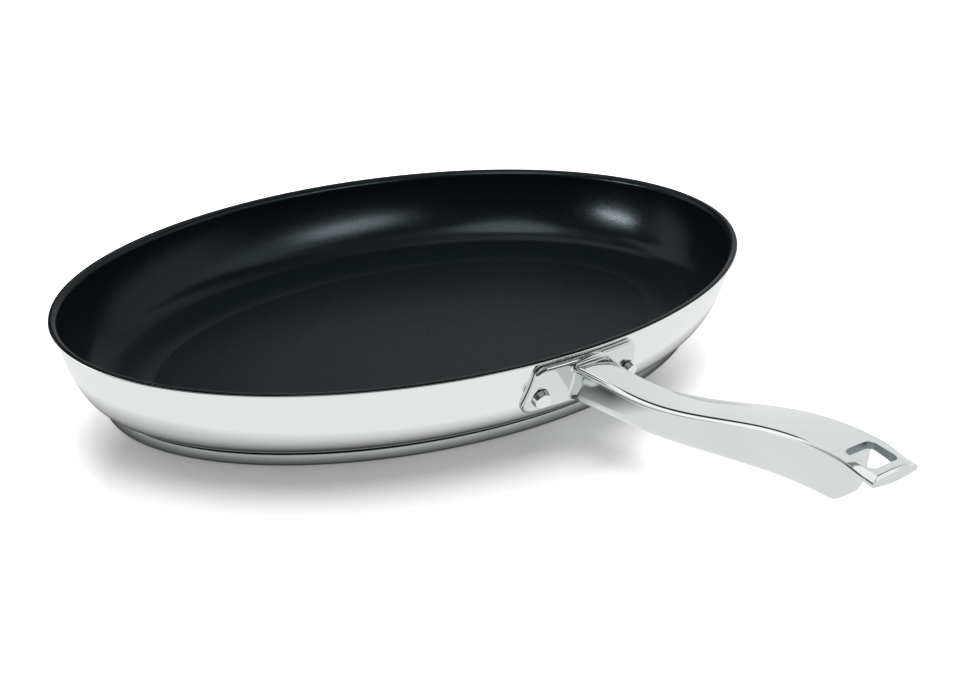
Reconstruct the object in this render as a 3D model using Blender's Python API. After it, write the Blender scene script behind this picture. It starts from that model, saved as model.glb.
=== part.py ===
"""Oval fish pan: a shallow steel pan with a non-stick inside, a capsule base and a riveted hollow handle.

Metres, +Z up. The origin is the middle of the underside, X runs along the oval's long axis, and the
handle points along -Y. A section through the wall is drawn in two numbers: how far a point stands
outside the rim's outline (negative inside it), and its height.
"""
import math

import bmesh
import bpy
from mathutils import Vector

# Clearance between pieces that touch
CLEARANCE = 0.0003

# Pan outline, height and wall
PAN_LENGTH = 0.360
PAN_WIDTH = 0.260
PAN_HEIGHT = 0.0435
STEEL = 0.0010
LINING = 0.00035
CORNER_RADIUS = 0.0230
FOOT_LEAN = math.radians(29)
TOP_LEAN = math.radians(7)
LIP_RADIUS = 0.0012
LIP_FLAT = 0.0008

# Capsule base: a steel cap round an aluminium core
CAP_STEEL = 0.0008
CORE_THICKNESS = 0.0034
BASE_OVERHANG = 0.0082
CAP_EDGE_RADIUS = 0.0012
GROOVE = 0.0004

# Handle bracket, whose plate lies on the wall just under the lip
PLATE_THICKNESS = 0.0030
PLATE_HEIGHT = 0.0237
PLATE_TOP_WIDTH = 0.056
PLATE_BOTTOM_WIDTH = 0.0645
PLATE_CORNER = 0.0050
PLATE_LIP_GAP = 0.0004
NECK_LENGTH = 0.0036
NECK_FILLET = 0.0032
NECK_TOP_FILLET = 0.0018
NECK_FOOT_FILLET = 0.0012
SPIGOT_LENGTH = 0.012

# Rivets through bracket, wall and lining
RIVET_SPACING = 0.0498
RIVET_HEIGHT = 0.0262
RIVET_SHANK = 0.0052
RIVET_BASE = 0.0090
RIVET_TOP = 0.0074
RIVET_PROUD = 0.0028
RIVET_ROUND = 0.0004
RIVET_INNER = 0.0100
RIVET_INNER_HEIGHT = 0.0014

# Handle: a crowned strip over a U-shaped shell. Reaches run outwards from the rim's near side,
# setbacks run back from the tip.
HANDLE_REACH = 0.169
ROOT_WIDTH = 0.0208
NECK_WIDTH = 0.0176
NECK_REACH = 0.020
GRIP_WIDTH = 0.0262
GRIP_SETBACK = 0.064
TIP_WIDTH = 0.0255
ROOT_DROP = 0.0037
DIP_FALL = 0.0021
DIP_REACH = 0.033
CREST_RISE = 0.0171
CREST_SETBACK = 0.033
TIP_FALL = 0.0035
STRIP_EDGE = 0.0019
STRIP_CROWN = 0.0014
STRIP_TIP_SAG = 0.0012
SHELL_STEP = 0.0018
SHELL_WALL = 0.0015
SHELL_CORNER = 0.0060
SHELL_ROOT_DEPTH = 0.0163
SHELL_WAIST_DEPTH = 0.0141
SHELL_WAIST_SETBACK = 0.119
SHELL_FULL_DEPTH = 0.0195
SHELL_FULL_SETBACK = 0.031
SHELL_END_LEAN = math.radians(8)
SHELL_END_BULGE = 0.0028
SHELL_NOSE = 0.0022

# Hanging hole near the tip
HOLE_WIDTH = 0.0155
HOLE_LENGTH = 0.0150
HOLE_CORNER = 0.0030
HOLE_SETBACK = 0.0120
SHELL_UNDER_HOLE = 0.0015

# Fineness of the curves
OVAL_STEPS = 64
CORNER_STEPS = 7
WALL_STEPS = 4
LIP_STEPS = 4
ROUND_STEPS = 24
STRIP_STATIONS = 30
SHELL_STATIONS = 24
CROWN_STEPS = 8
SPIGOT_STEPS = 3
SHELL_CORNER_STEPS = 6
SHELL_NOSE_STEPS = 4
PLATE_COLUMNS = 14
PLATE_ROWS = 4
PLATE_CORNER_STEPS = 4
FILLET_STEPS = 5
HOLE_CORNER_STEPS = 4
CAP_EDGE_STEPS = 3

# Heights that follow from the base
CORE_BOTTOM = CAP_STEEL + CLEARANCE
CORE_TOP = CORE_BOTTOM + CORE_THICKNESS
FLOOR_UNDERSIDE = CORE_TOP + CLEARANCE


def steps_to(end, count):
    """Evenly spaced values from 0 to end, both included."""
    return [end * i / count for i in range(count + 1)]


def heading(angle):
    """Unit vector of the wall's section at an angle from the outward direction."""
    return Vector((math.cos(angle), math.sin(angle)))


class WallSection:
    """The wall's section: a corner arc, a long wall arc and a lip arc, tangent to each other."""

    def __init__(self):
        self.lip_underside = PAN_HEIGHT - LINING - CLEARANCE - STEEL
        lip_centre_height = self.lip_underside - LIP_RADIUS
        self.wall_top = lip_centre_height + LIP_RADIUS * math.sin(TOP_LEAN)
        self.wall_foot = FLOOR_UNDERSIDE + CORNER_RADIUS * (1 - math.sin(FOOT_LEAN))
        rise = self.wall_top - self.wall_foot
        self.wall_radius = rise / (math.sin(FOOT_LEAN) - math.sin(TOP_LEAN))
        lip_out = -LIP_FLAT - STEEL / 2
        top_out = lip_out - LIP_RADIUS * math.cos(TOP_LEAN)
        foot_out = top_out - self.wall_radius * (math.cos(TOP_LEAN) - math.cos(FOOT_LEAN))
        self.lip_centre = Vector((lip_out, lip_centre_height))
        self.wall_centre = Vector((foot_out, self.wall_foot)) - heading(-FOOT_LEAN) * self.wall_radius
        self.corner_centre = Vector(
            (foot_out - CORNER_RADIUS * math.cos(FOOT_LEAN), FLOOR_UNDERSIDE + CORNER_RADIUS)
        )
        self.flat_edge = self.corner_centre.x

    def layer(self, inside):
        """Points from the flat floor's edge up to the end of the lip, inside the steel's outer face."""
        parts = (
            (self.corner_centre, CORNER_RADIUS - inside, -math.pi / 2, -FOOT_LEAN, CORNER_STEPS),
            (self.wall_centre, self.wall_radius - inside, -FOOT_LEAN, -TOP_LEAN, WALL_STEPS),
            (self.lip_centre, LIP_RADIUS + inside, math.pi - TOP_LEAN, math.pi / 2, LIP_STEPS),
        )
        points = []
        for centre, radius, start, end, steps in parts:
            points += arc(centre, radius, start, end, steps)[bool(points):]
        points.append(points[-1] + Vector((LIP_FLAT, 0)))
        return points

    def face(self, height, proud):
        """Where the wall's outer face, moved outwards by proud, stands at a height: out and angle."""
        corner = CORNER_RADIUS + proud
        joint = self.corner_centre.y - corner * math.sin(FOOT_LEAN)
        if height < joint:
            centre, radius = self.corner_centre, corner
        else:
            centre, radius = self.wall_centre, self.wall_radius + proud
        angle = math.asin((height - centre.y) / radius)
        return centre.x + radius * math.cos(angle), angle


def arc(centre, radius, start, end, steps):
    """Points on an arc of the section, both ends included."""
    return [centre + heading(start + turn) * radius for turn in steps_to(end - start, steps)]


WALL = WallSection()
PLATE_TOP = WALL.wall_top - PLATE_LIP_GAP
PLATE_BOTTOM = PLATE_TOP - PLATE_HEIGHT
PLATE_PROUD = CLEARANCE + PLATE_THICKNESS


def oval_normal(angle):
    """Outward direction of the rim's outline at an angle of its ellipse."""
    return Vector((math.cos(angle) / PAN_LENGTH, math.sin(angle) / PAN_WIDTH)).normalized()


def oval_point(angle, out, height):
    """A point that stands outside the rim's outline by out."""
    normal = oval_normal(angle)
    x = PAN_LENGTH / 2 * math.cos(angle) + normal.x * out
    y = PAN_WIDTH / 2 * math.sin(angle) + normal.y * out
    return Vector((x, y, height))


def near_angle(across, out):
    """The ellipse's angle at which the near side, moved by out, lies at x = across."""
    low, high = -math.pi, 0.0
    for _ in range(40):
        middle = (low + high) / 2
        if oval_point(middle, out, 0).x < across:
            low = middle
        else:
            high = middle
    return (low + high) / 2


def near_wall(across, height, proud):
    """A point on the near wall's outer face, moved outwards by proud."""
    out, _ = WALL.face(height, proud)
    return oval_point(near_angle(across, out), out, height)


def near_wall_normal(across, height):
    """The outward direction of the near wall's outer face."""
    out, lean = WALL.face(height, 0)
    flat = oval_normal(near_angle(across, out)) * math.cos(lean)
    return Vector((flat.x, flat.y, math.sin(lean)))


def finish(mesh_object, material):
    """Gives an object its material and smooth shading with sharp edges."""
    mesh_object.data.materials.append(material)
    mesh_object.data.shade_smooth()
    mesh_object.data.set_sharp_from_angle(angle=math.radians(35))
    return mesh_object


def object_from(name, faces_of_points):
    """An object whose mesh has the given faces, welded, with its faces out."""
    mesh = bmesh.new()
    for points in faces_of_points:
        mesh.faces.new([mesh.verts.new(point) for point in points])
    bmesh.ops.remove_doubles(mesh, verts=mesh.verts, dist=1e-6)
    bmesh.ops.recalc_face_normals(mesh, faces=mesh.faces)
    data = bpy.data.meshes.new(name)
    mesh.to_mesh(data)
    mesh.free()
    made = bpy.data.objects.new(name, data)
    bpy.context.collection.objects.link(made)
    return made


def loft(name, rings):
    """A solid through closed rings of equally many points, capped at both ends."""
    faces = [rings[0], rings[-1]]
    count = len(rings[0])
    for low, high in zip(rings, rings[1:]):
        for i in range(count):
            j = (i + 1) % count
            faces.append([low[i], low[j], high[j], high[i]])
    return object_from(name, faces)


def oval_solid(name, section):
    """A solid swept round the oval through the points of a section."""
    angles = steps_to(2 * math.pi, OVAL_STEPS)[:-1]
    return loft(name, [[oval_point(angle, out, height) for angle in angles] for out, height in section])


def turned(name, profile, centre, axis):
    """A solid turned round an axis, from (radius, distance along the axis) pairs."""
    side = axis.orthogonal().normalized()
    other = axis.cross(side)
    angles = steps_to(2 * math.pi, ROUND_STEPS)[:-1]
    rings = []
    for radius, along in profile:
        middle = centre + axis * along
        rings.append([middle + (side * math.cos(a) + other * math.sin(a)) * radius for a in angles])
    return loft(name, rings)


def combine(target, tool, operation):
    """Cuts or joins a guide solid, which itself is left out of the model."""
    tool.hide_render = True
    tool.display_type = 'WIRE'
    modifier = target.modifiers.new(operation.title() + ' ' + tool.name, 'BOOLEAN')
    modifier.operation = operation
    modifier.solver = 'EXACT'
    modifier.object = tool


def flow(place, stops):
    """A value that runs through (place, value) stops, level at every stop but the first and last."""
    spans = list(zip(stops, stops[1:]))
    for index, ((start, first), (end, second)) in enumerate(spans):
        last = index == len(spans) - 1
        if place <= end or last:
            part = min(max((place - start) / (end - start), 0.0), 1.0)
            if index == 0:
                return second + (first - second) * (1 - part) ** 2
            if last:
                return first + (second - first) * part ** 2
            return first + (second - first) * part * part * (3 - 2 * part)
    return stops[-1][1]


# Places along the handle, as distances outwards from the middle of the pan
RIM_NEAR = PAN_WIDTH / 2
TIP = RIM_NEAR + HANDLE_REACH
HOLE_MIDDLE = TIP - HOLE_SETBACK
SHELL_END = HOLE_MIDDLE - HOLE_LENGTH / 2 + SHELL_UNDER_HOLE
ROOT_EDGE_HEIGHT = PLATE_TOP - ROOT_DROP


def root_distance(across, height):
    """Distance of the neck's outer end, which runs parallel to the bracket's plate."""
    return -near_wall(across, height, PLATE_PROUD).y + NECK_LENGTH


ROOT = root_distance(0, ROOT_EDGE_HEIGHT)


def half_width(distance):
    """Half the strip's width."""
    stops = (
        (ROOT, ROOT_WIDTH / 2),
        (RIM_NEAR + NECK_REACH, NECK_WIDTH / 2),
        (TIP - GRIP_SETBACK, GRIP_WIDTH / 2),
        (TIP, TIP_WIDTH / 2),
    )
    return flow(distance, stops)


def edge_height(distance):
    """Height of the strip's upper edge line."""
    dip = ROOT_EDGE_HEIGHT - DIP_FALL
    stops = (
        (ROOT, ROOT_EDGE_HEIGHT),
        (RIM_NEAR + DIP_REACH, dip),
        (TIP - CREST_SETBACK, dip + CREST_RISE),
        (TIP, dip + CREST_RISE - TIP_FALL),
    )
    return flow(distance, stops)


def shell_depth(distance):
    """Depth of the shell under the strip."""
    stops = (
        (ROOT, SHELL_ROOT_DEPTH),
        (TIP - SHELL_WAIST_SETBACK, SHELL_WAIST_DEPTH),
        (TIP - SHELL_FULL_SETBACK, SHELL_FULL_DEPTH),
        (TIP, SHELL_FULL_DEPTH),
    )
    return flow(distance, stops)


def strip_sag(distance):
    """How far the strip's underside bulges down, beyond the shell's end only."""
    part = min(max((distance - SHELL_END) / (TIP - SHELL_END), 0.0), 1.0)
    return STRIP_TIP_SAG * math.sin(part * math.pi / 2)


def crown(part):
    """A flat arch over -1 to 1 that rounds down at both ends."""
    return (1 - abs(part) ** 3) ** (1 / 3)


def strip_outline(distance):
    """The strip's section as (across, height) points: its crown, then its underside."""
    half = half_width(distance)
    edge = edge_height(distance)
    sag = strip_sag(distance)
    across = [-math.cos(turn) for turn in steps_to(math.pi, CROWN_STEPS)]
    top = [(half * x, edge + STRIP_CROWN * crown(x)) for x in across]
    bottom = [(half * x, edge - STRIP_EDGE - sag * crown(x)) for x in reversed(across)]
    return top + bottom


def shell_outline(distance, inset, top_raise, lift=0.0):
    """The shell's section, inset from its outer face, from its top left round the bottom."""
    half = half_width(distance) - SHELL_STEP - inset
    top = edge_height(distance) - STRIP_EDGE - CLEARANCE + top_raise
    bottom = edge_height(distance) - STRIP_EDGE - shell_depth(distance) + inset + lift
    radius = min(SHELL_CORNER - inset, half * 0.85)
    points = [(-half, top)]
    for corner, start in ((-1, math.pi), (1, 1.5 * math.pi)):
        centre = Vector((corner * (half - radius), bottom + radius))
        turned_corner = arc(centre, radius, start, start + math.pi / 2, SHELL_CORNER_STEPS)
        points += [(point.x, point.y) for point in turned_corner]
    return points + [(half, top)]


def strip_end(_across, _height):
    """Distance of the strip's far end, square to the handle."""
    return TIP


def shell_end(across, height):
    """Distance of the shell's far end, which bulges out and leans in towards the pan lower down."""
    fall = edge_height(SHELL_END) - STRIP_EDGE - height
    side = across / (half_width(SHELL_END) - SHELL_STEP)
    return SHELL_END - fall * math.tan(SHELL_END_LEAN) - SHELL_END_BULGE * side ** 2


def settled_ring(outline, place):
    """A ring of the handle whose every point lies on the section at its own distance."""
    ring = []
    for index in range(len(outline(ROOT))):
        distance = ROOT
        for _ in range(7):
            across, height = outline(distance)[index]
            distance = place(across, height)
        ring.append(Vector((across, -distance, height)))
    return ring


def handle_ring(outline, end, part):
    """A ring part of the way from just off the neck's end face to the far end."""
    def place(across, height):
        start = root_distance(across, height) + CLEARANCE
        return start + (end(across, height) - start) * part
    return settled_ring(outline, place)


def shell_ring(part, inset, top_raise, lift=0.0):
    """A ring of the shell, inset from its outer face."""
    return handle_ring(lambda distance: shell_outline(distance, inset, top_raise, lift), shell_end, part)


def make_pan_body(material):
    """The steel pan: floor, rounded corner, wall and turned-out lip."""
    outer = WALL.layer(0)
    inner = WALL.layer(STEEL)
    edge_centre = (outer[-1] + inner[-1]) / 2
    edge = arc(edge_centre, STEEL / 2, -math.pi / 2, math.pi / 2, LIP_STEPS)[1:-1]
    return finish(oval_solid('pan_body', outer + edge + inner[::-1]), material)


def make_lining(material):
    """The non-stick layer over the floor, the wall and the top of the lip."""
    under = WALL.layer(STEEL + CLEARANCE)
    over = WALL.layer(STEEL + CLEARANCE + LINING)
    return finish(oval_solid('nonstick_lining', under + over[::-1]), material)


def make_base_cap(material):
    """A steel tray round the core, whose side stops a groove below the pan's corner."""
    side = WALL.flat_edge + BASE_OVERHANG
    inner = side - CAP_STEEL
    past_flat = inner - WALL.flat_edge
    corner_rise = CORNER_RADIUS - math.sqrt(CORNER_RADIUS ** 2 - past_flat ** 2)
    top = FLOOR_UNDERSIDE + corner_rise - GROOVE
    edge_centre = Vector((side - CAP_EDGE_RADIUS, CAP_EDGE_RADIUS))
    foot = arc(edge_centre, CAP_EDGE_RADIUS, -math.pi / 2, 0, CAP_EDGE_STEPS)
    section = foot + [Vector((side, top)), Vector((inner, top)), Vector((inner, CAP_STEEL))]
    return finish(oval_solid('base_cap', section), material)


def make_base_core(material):
    """The aluminium disc that spreads the heat, closed in by the cap and the floor."""
    edge = WALL.flat_edge + BASE_OVERHANG - CAP_STEEL - CLEARANCE
    section = [Vector((edge, CORE_BOTTOM)), Vector((edge, CORE_TOP))]
    return finish(oval_solid('base_core', section), material)


def plate_half_width(height):
    """Half the plate's width: wider at the foot, with rounded corners."""
    part = (height - PLATE_BOTTOM) / PLATE_HEIGHT
    half = (PLATE_BOTTOM_WIDTH + (PLATE_TOP_WIDTH - PLATE_BOTTOM_WIDTH) * part) / 2
    to_edge = min(height - PLATE_BOTTOM, PLATE_TOP - height)
    if to_edge < PLATE_CORNER:
        half -= PLATE_CORNER - math.sqrt(PLATE_CORNER ** 2 - (PLATE_CORNER - to_edge) ** 2)
    return half


def plate_heights():
    """Rows of the plate: close together at the rounded corners."""
    turn = [PLATE_CORNER * (1 - math.cos(t)) for t in steps_to(math.pi / 2, PLATE_CORNER_STEPS)]
    straight = PLATE_HEIGHT - 2 * PLATE_CORNER
    middle = [PLATE_BOTTOM + PLATE_CORNER + s for s in steps_to(straight, PLATE_ROWS)[1:-1]]
    return [PLATE_BOTTOM + t for t in turn] + middle + [PLATE_TOP - t for t in reversed(turn)]


def make_plate(material):
    """The bracket's plate, curved to lie on the wall."""
    columns = [step - 1 for step in steps_to(2, PLATE_COLUMNS)]
    sheets = []
    for proud in (CLEARANCE, PLATE_PROUD):
        sheets.append([
            [near_wall(plate_half_width(height) * c, height, proud) for c in columns]
            for height in plate_heights()
        ])
    back, front = sheets
    faces = []
    for sheet in sheets:
        for low, high in zip(sheet, sheet[1:]):
            for i in range(len(columns) - 1):
                faces.append([low[i], low[i + 1], high[i + 1], high[i]])
    rims = [
        (back[0], front[0]),
        (back[-1], front[-1]),
        ([row[0] for row in back], [row[0] for row in front]),
        ([row[-1] for row in back], [row[-1] for row in front]),
    ]
    for back_line, front_line in rims:
        for i in range(len(back_line) - 1):
            faces.append([back_line[i], back_line[i + 1], front_line[i + 1], front_line[i]])
    return finish(object_from('handle_bracket', faces), material)


def neck_outline(grow):
    """The neck's section at the strip's root, grown for the fillet by grow, a part from 0 to 1."""
    strip = strip_outline(ROOT)
    shell = shell_outline(ROOT, 0, 0)[1:-1]
    points = strip[:CROWN_STEPS + 2] + shell[::-1] + [strip[-1]]
    high = max(height for _, height in points)
    low = min(height for _, height in points)
    middle = (high + low) / 2
    grown = []
    for across, height in points:
        up = (height - middle) / (high - middle)
        rise = NECK_TOP_FILLET if up > 0 else NECK_FOOT_FILLET
        grown.append((across * (1 + grow * NECK_FILLET / half_width(ROOT)), height + grow * rise * up))
    return grown


def spigot_outline(distance):
    """The spigot's section, a clearance inside the shell, with as many points as the neck's."""
    inset = SHELL_WALL + CLEARANCE
    shell = shell_outline(distance, inset, -CLEARANCE)
    half, top = shell[-1]
    low_corner = shell[1][1]
    across = [-math.cos(turn) * half for turn in steps_to(math.pi, CROWN_STEPS)]
    shoulder = (top + low_corner) / 2
    return [(x, top) for x in across] + [(half, shoulder)] + shell[1:-1][::-1] + [(-half, shoulder)]


def make_neck():
    """The bracket's neck with its fillet, and the spigot that goes into the shell."""
    fillet = min(NECK_FILLET, NECK_LENGTH)
    stages = [(-PLATE_THICKNESS / 2, 1.0)]
    for turn in steps_to(math.pi / 2, FILLET_STEPS):
        stages.append((fillet * (1 - math.cos(turn)), 1 - math.sin(turn)))
    stages.append((NECK_LENGTH, 0.0))
    rings = []
    for standoff, grow in stages:
        ring = []
        for across, height in neck_outline(grow):
            distance = root_distance(across, height) - NECK_LENGTH + standoff
            ring.append(Vector((across, -distance, height)))
        rings.append(ring)
    for reach in steps_to(SPIGOT_LENGTH, SPIGOT_STEPS):
        rings.append(settled_ring(spigot_outline, lambda x, z: root_distance(x, z) + reach))
    return loft('neck_guide', rings)


def make_strip(material):
    """The handle's top: a crowned strip that dips, rises to the grip and falls to the tip."""
    rings = [handle_ring(strip_outline, strip_end, part) for part in steps_to(1, STRIP_STATIONS)]
    return finish(loft('handle_top', rings), material)


def make_hole_cutter():
    """A rounded bar that cuts the hanging hole."""
    high = edge_height(HOLE_MIDDLE) + 4 * STRIP_CROWN
    low = edge_height(HOLE_MIDDLE) - STRIP_EDGE - 4 * STRIP_TIP_SAG
    outline = []
    for quarter, (sx, sy) in enumerate(((1, 1), (-1, 1), (-1, -1), (1, -1))):
        centre = Vector((sx * (HOLE_WIDTH / 2 - HOLE_CORNER), sy * (HOLE_LENGTH / 2 - HOLE_CORNER)))
        start = quarter * math.pi / 2
        outline += arc(centre, HOLE_CORNER, start, start + math.pi / 2, HOLE_CORNER_STEPS)
    rings = [[Vector((p.x, p.y - HOLE_MIDDLE, z)) for p in outline] for z in (low, high)]
    return loft('hole_guide', rings)


def nose(end, inset, top_raise):
    """Rings that round the shell's bottom off towards its end, given as a part of its length."""
    rings = []
    for turn in steps_to(math.pi / 2, SHELL_NOSE_STEPS):
        back = SHELL_NOSE * (1 - math.sin(turn)) / (SHELL_END - ROOT)
        lift = SHELL_NOSE * (1 - math.cos(turn))
        rings.append(shell_ring(end - back, inset, top_raise, lift))
    return rings


def make_shell(material):
    """The handle's underside: a U-shaped shell closed at its far end, cut out from above."""
    length = SHELL_END - ROOT
    outer_end = 1 - SHELL_NOSE / length
    inner_end = outer_end - SHELL_WALL / length
    rings = [shell_ring(part * outer_end, 0, 0) for part in steps_to(1, SHELL_STATIONS)[:-1]]
    shell = finish(loft('handle_shell', rings + nose(1, 0, 0)), material)
    over = 2 * STRIP_EDGE
    hollow = [shell_ring(-SHELL_WALL / length, SHELL_WALL, over)]
    hollow += [shell_ring(p * inner_end, SHELL_WALL, over) for p in steps_to(1, SHELL_STATIONS)[1:-1]]
    hollow += nose(1 - SHELL_WALL / length, SHELL_WALL, over)
    combine(shell, loft('shell_hollow', hollow), 'DIFFERENCE')
    return shell


def rivet_place(side):
    """A rivet's point on the wall's outer face and its axis, for side -1 or 1."""
    across = side * RIVET_SPACING / 2
    return near_wall(across, RIVET_HEIGHT, 0), near_wall_normal(across, RIVET_HEIGHT)


def make_rivet(name, side, material):
    """A rivet: a flat-topped outer head, a shank and a low inner head."""
    seat = PLATE_PROUD + CLEARANCE
    facet_sag = PAN_WIDTH / 2 * (2 * math.pi / OVAL_STEPS) ** 2 / 8
    curve_sag = (RIVET_INNER / 2) ** 2 / (2 * WALL.wall_radius)
    inner_seat = -(STEEL + CLEARANCE + LINING + CLEARANCE + facet_sag + curve_sag)
    inner_end = inner_seat - RIVET_INNER_HEIGHT
    slope = (RIVET_BASE - RIVET_TOP) / 2
    profile = [
        (RIVET_INNER / 2 - RIVET_INNER_HEIGHT / 2, inner_end),
        (RIVET_INNER / 2, inner_end + RIVET_INNER_HEIGHT / 2),
        (RIVET_INNER / 2, inner_seat),
        (RIVET_SHANK / 2, inner_seat),
        (RIVET_SHANK / 2, seat),
        (RIVET_BASE / 2, seat),
        (RIVET_TOP / 2 + slope * RIVET_ROUND / RIVET_PROUD, seat + RIVET_PROUD - RIVET_ROUND),
        (RIVET_TOP / 2 - RIVET_ROUND, seat + RIVET_PROUD),
    ]
    centre, axis = rivet_place(side)
    return finish(turned(name, profile, centre, axis), material)


def make_rivet_drill(side):
    """A bar that drills a rivet's hole through bracket, wall and lining."""
    centre, axis = rivet_place(side)
    radius = RIVET_SHANK / 2 + CLEARANCE
    reach = PLATE_PROUD + STEEL + LINING + 2 * CLEARANCE + RIVET_PROUD
    name = 'drill_left' if side < 0 else 'drill_right'
    return turned(name, [(radius, -reach), (radius, reach)], centre, axis)


def make_material(name, colour, roughness, metallic):
    """A plain principled material."""
    material = bpy.data.materials.new(name)
    material.use_nodes = True
    shader = material.node_tree.nodes['Principled BSDF']
    shader.inputs['Base Color'].default_value = (*colour, 1.0)
    shader.inputs['Roughness'].default_value = roughness
    shader.inputs['Metallic'].default_value = metallic
    material.diffuse_color = (*colour, 1.0)
    return material


def main():
    """Builds the pan, its base, its handle and its rivets."""
    for old in list(bpy.data.objects):
        bpy.data.objects.remove(old)
    polished = make_material('polished_steel', (0.80, 0.82, 0.81), 0.08, 1.0)
    satin = make_material('satin_steel', (0.62, 0.65, 0.65), 0.30, 1.0)
    aluminium = make_material('aluminium', (0.70, 0.71, 0.72), 0.40, 1.0)
    nonstick = make_material('nonstick_coating', (0.020, 0.026, 0.029), 0.38, 0.0)

    body = make_pan_body(polished)
    lining = make_lining(nonstick)
    make_base_cap(satin)
    make_base_core(aluminium)
    bracket = make_plate(polished)
    combine(bracket, make_neck(), 'UNION')
    strip = make_strip(polished)
    combine(strip, make_hole_cutter(), 'DIFFERENCE')
    make_shell(polished)
    for name, side in (('rivet_left', -1), ('rivet_right', 1)):
        make_rivet(name, side, polished)
        drill = make_rivet_drill(side)
        for drilled in (body, lining, bracket):
            combine(drilled, drill, 'DIFFERENCE')


main()
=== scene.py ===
"""Oval fish pan, dressed for a studio picture.

The pan, its lining and its base cap are sections swept round one oval by a Geometry Nodes tree.
The rivets are turned and set by a second tree, and the bracket, the handle's strip and its shell
are lofts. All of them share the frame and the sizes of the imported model, in metres, with +Z up and
the handle along -Y. A section through the wall is drawn as (out, height), where out is how far a
point stands outside the rim's outline.
"""
import logging
import math
from collections.abc import Callable, Sequence
from dataclasses import dataclass, field
from enum import Enum
from functools import cached_property

import bmesh
import bpy
import numpy as np
from bpy.types import Material, Node, NodeSocket, NodeTree, Object
from mathutils import Matrix, Vector


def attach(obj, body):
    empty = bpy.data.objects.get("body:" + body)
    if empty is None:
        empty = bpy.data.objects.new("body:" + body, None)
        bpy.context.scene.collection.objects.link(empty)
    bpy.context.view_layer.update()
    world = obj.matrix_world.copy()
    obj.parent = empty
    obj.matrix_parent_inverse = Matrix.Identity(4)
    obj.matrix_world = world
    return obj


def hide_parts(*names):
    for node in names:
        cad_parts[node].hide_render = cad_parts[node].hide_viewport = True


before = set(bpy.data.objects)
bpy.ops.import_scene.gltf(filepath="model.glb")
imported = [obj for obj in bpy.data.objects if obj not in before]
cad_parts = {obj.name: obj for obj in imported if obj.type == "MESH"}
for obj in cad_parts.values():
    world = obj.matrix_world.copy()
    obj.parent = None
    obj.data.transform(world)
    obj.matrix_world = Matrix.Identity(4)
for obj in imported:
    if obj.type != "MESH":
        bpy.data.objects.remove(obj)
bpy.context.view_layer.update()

log = logging.getLogger("fish_pan")

BODY = "root"
WELD = 1e-6
SHARP_ANGLE = math.radians(40)
CAP_SHARES = (0.985, 0.9, 0.7, 0.4, 0.0)
BLUNT_SHARES = (0.5, 0.0)
TOP_MARK = -99.0
FLATTEN = 1e6
Array = np.ndarray
Section = Array
Pair = tuple[float, float]
Triple = tuple[float, float, float]
Outline = Callable[[Array], tuple[Array, Array]]
Distance = Callable[[Array, Array], Array]


class Slot(Enum):
    """The record's material slots."""

    POLISHED = "polished_steel"
    SATIN = "satin_steel"
    ALUMINIUM = "aluminium"
    NONSTICK = "nonstick_coating"


class Side(Enum):
    """Which of the two mirrored rivet places is meant."""

    LEFT = -1
    RIGHT = 1


class Seen(Enum):
    """What a lamp lights."""

    MATT = "the matt part of every surface"
    GLOSS = "the coating's gloss alone"


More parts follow.
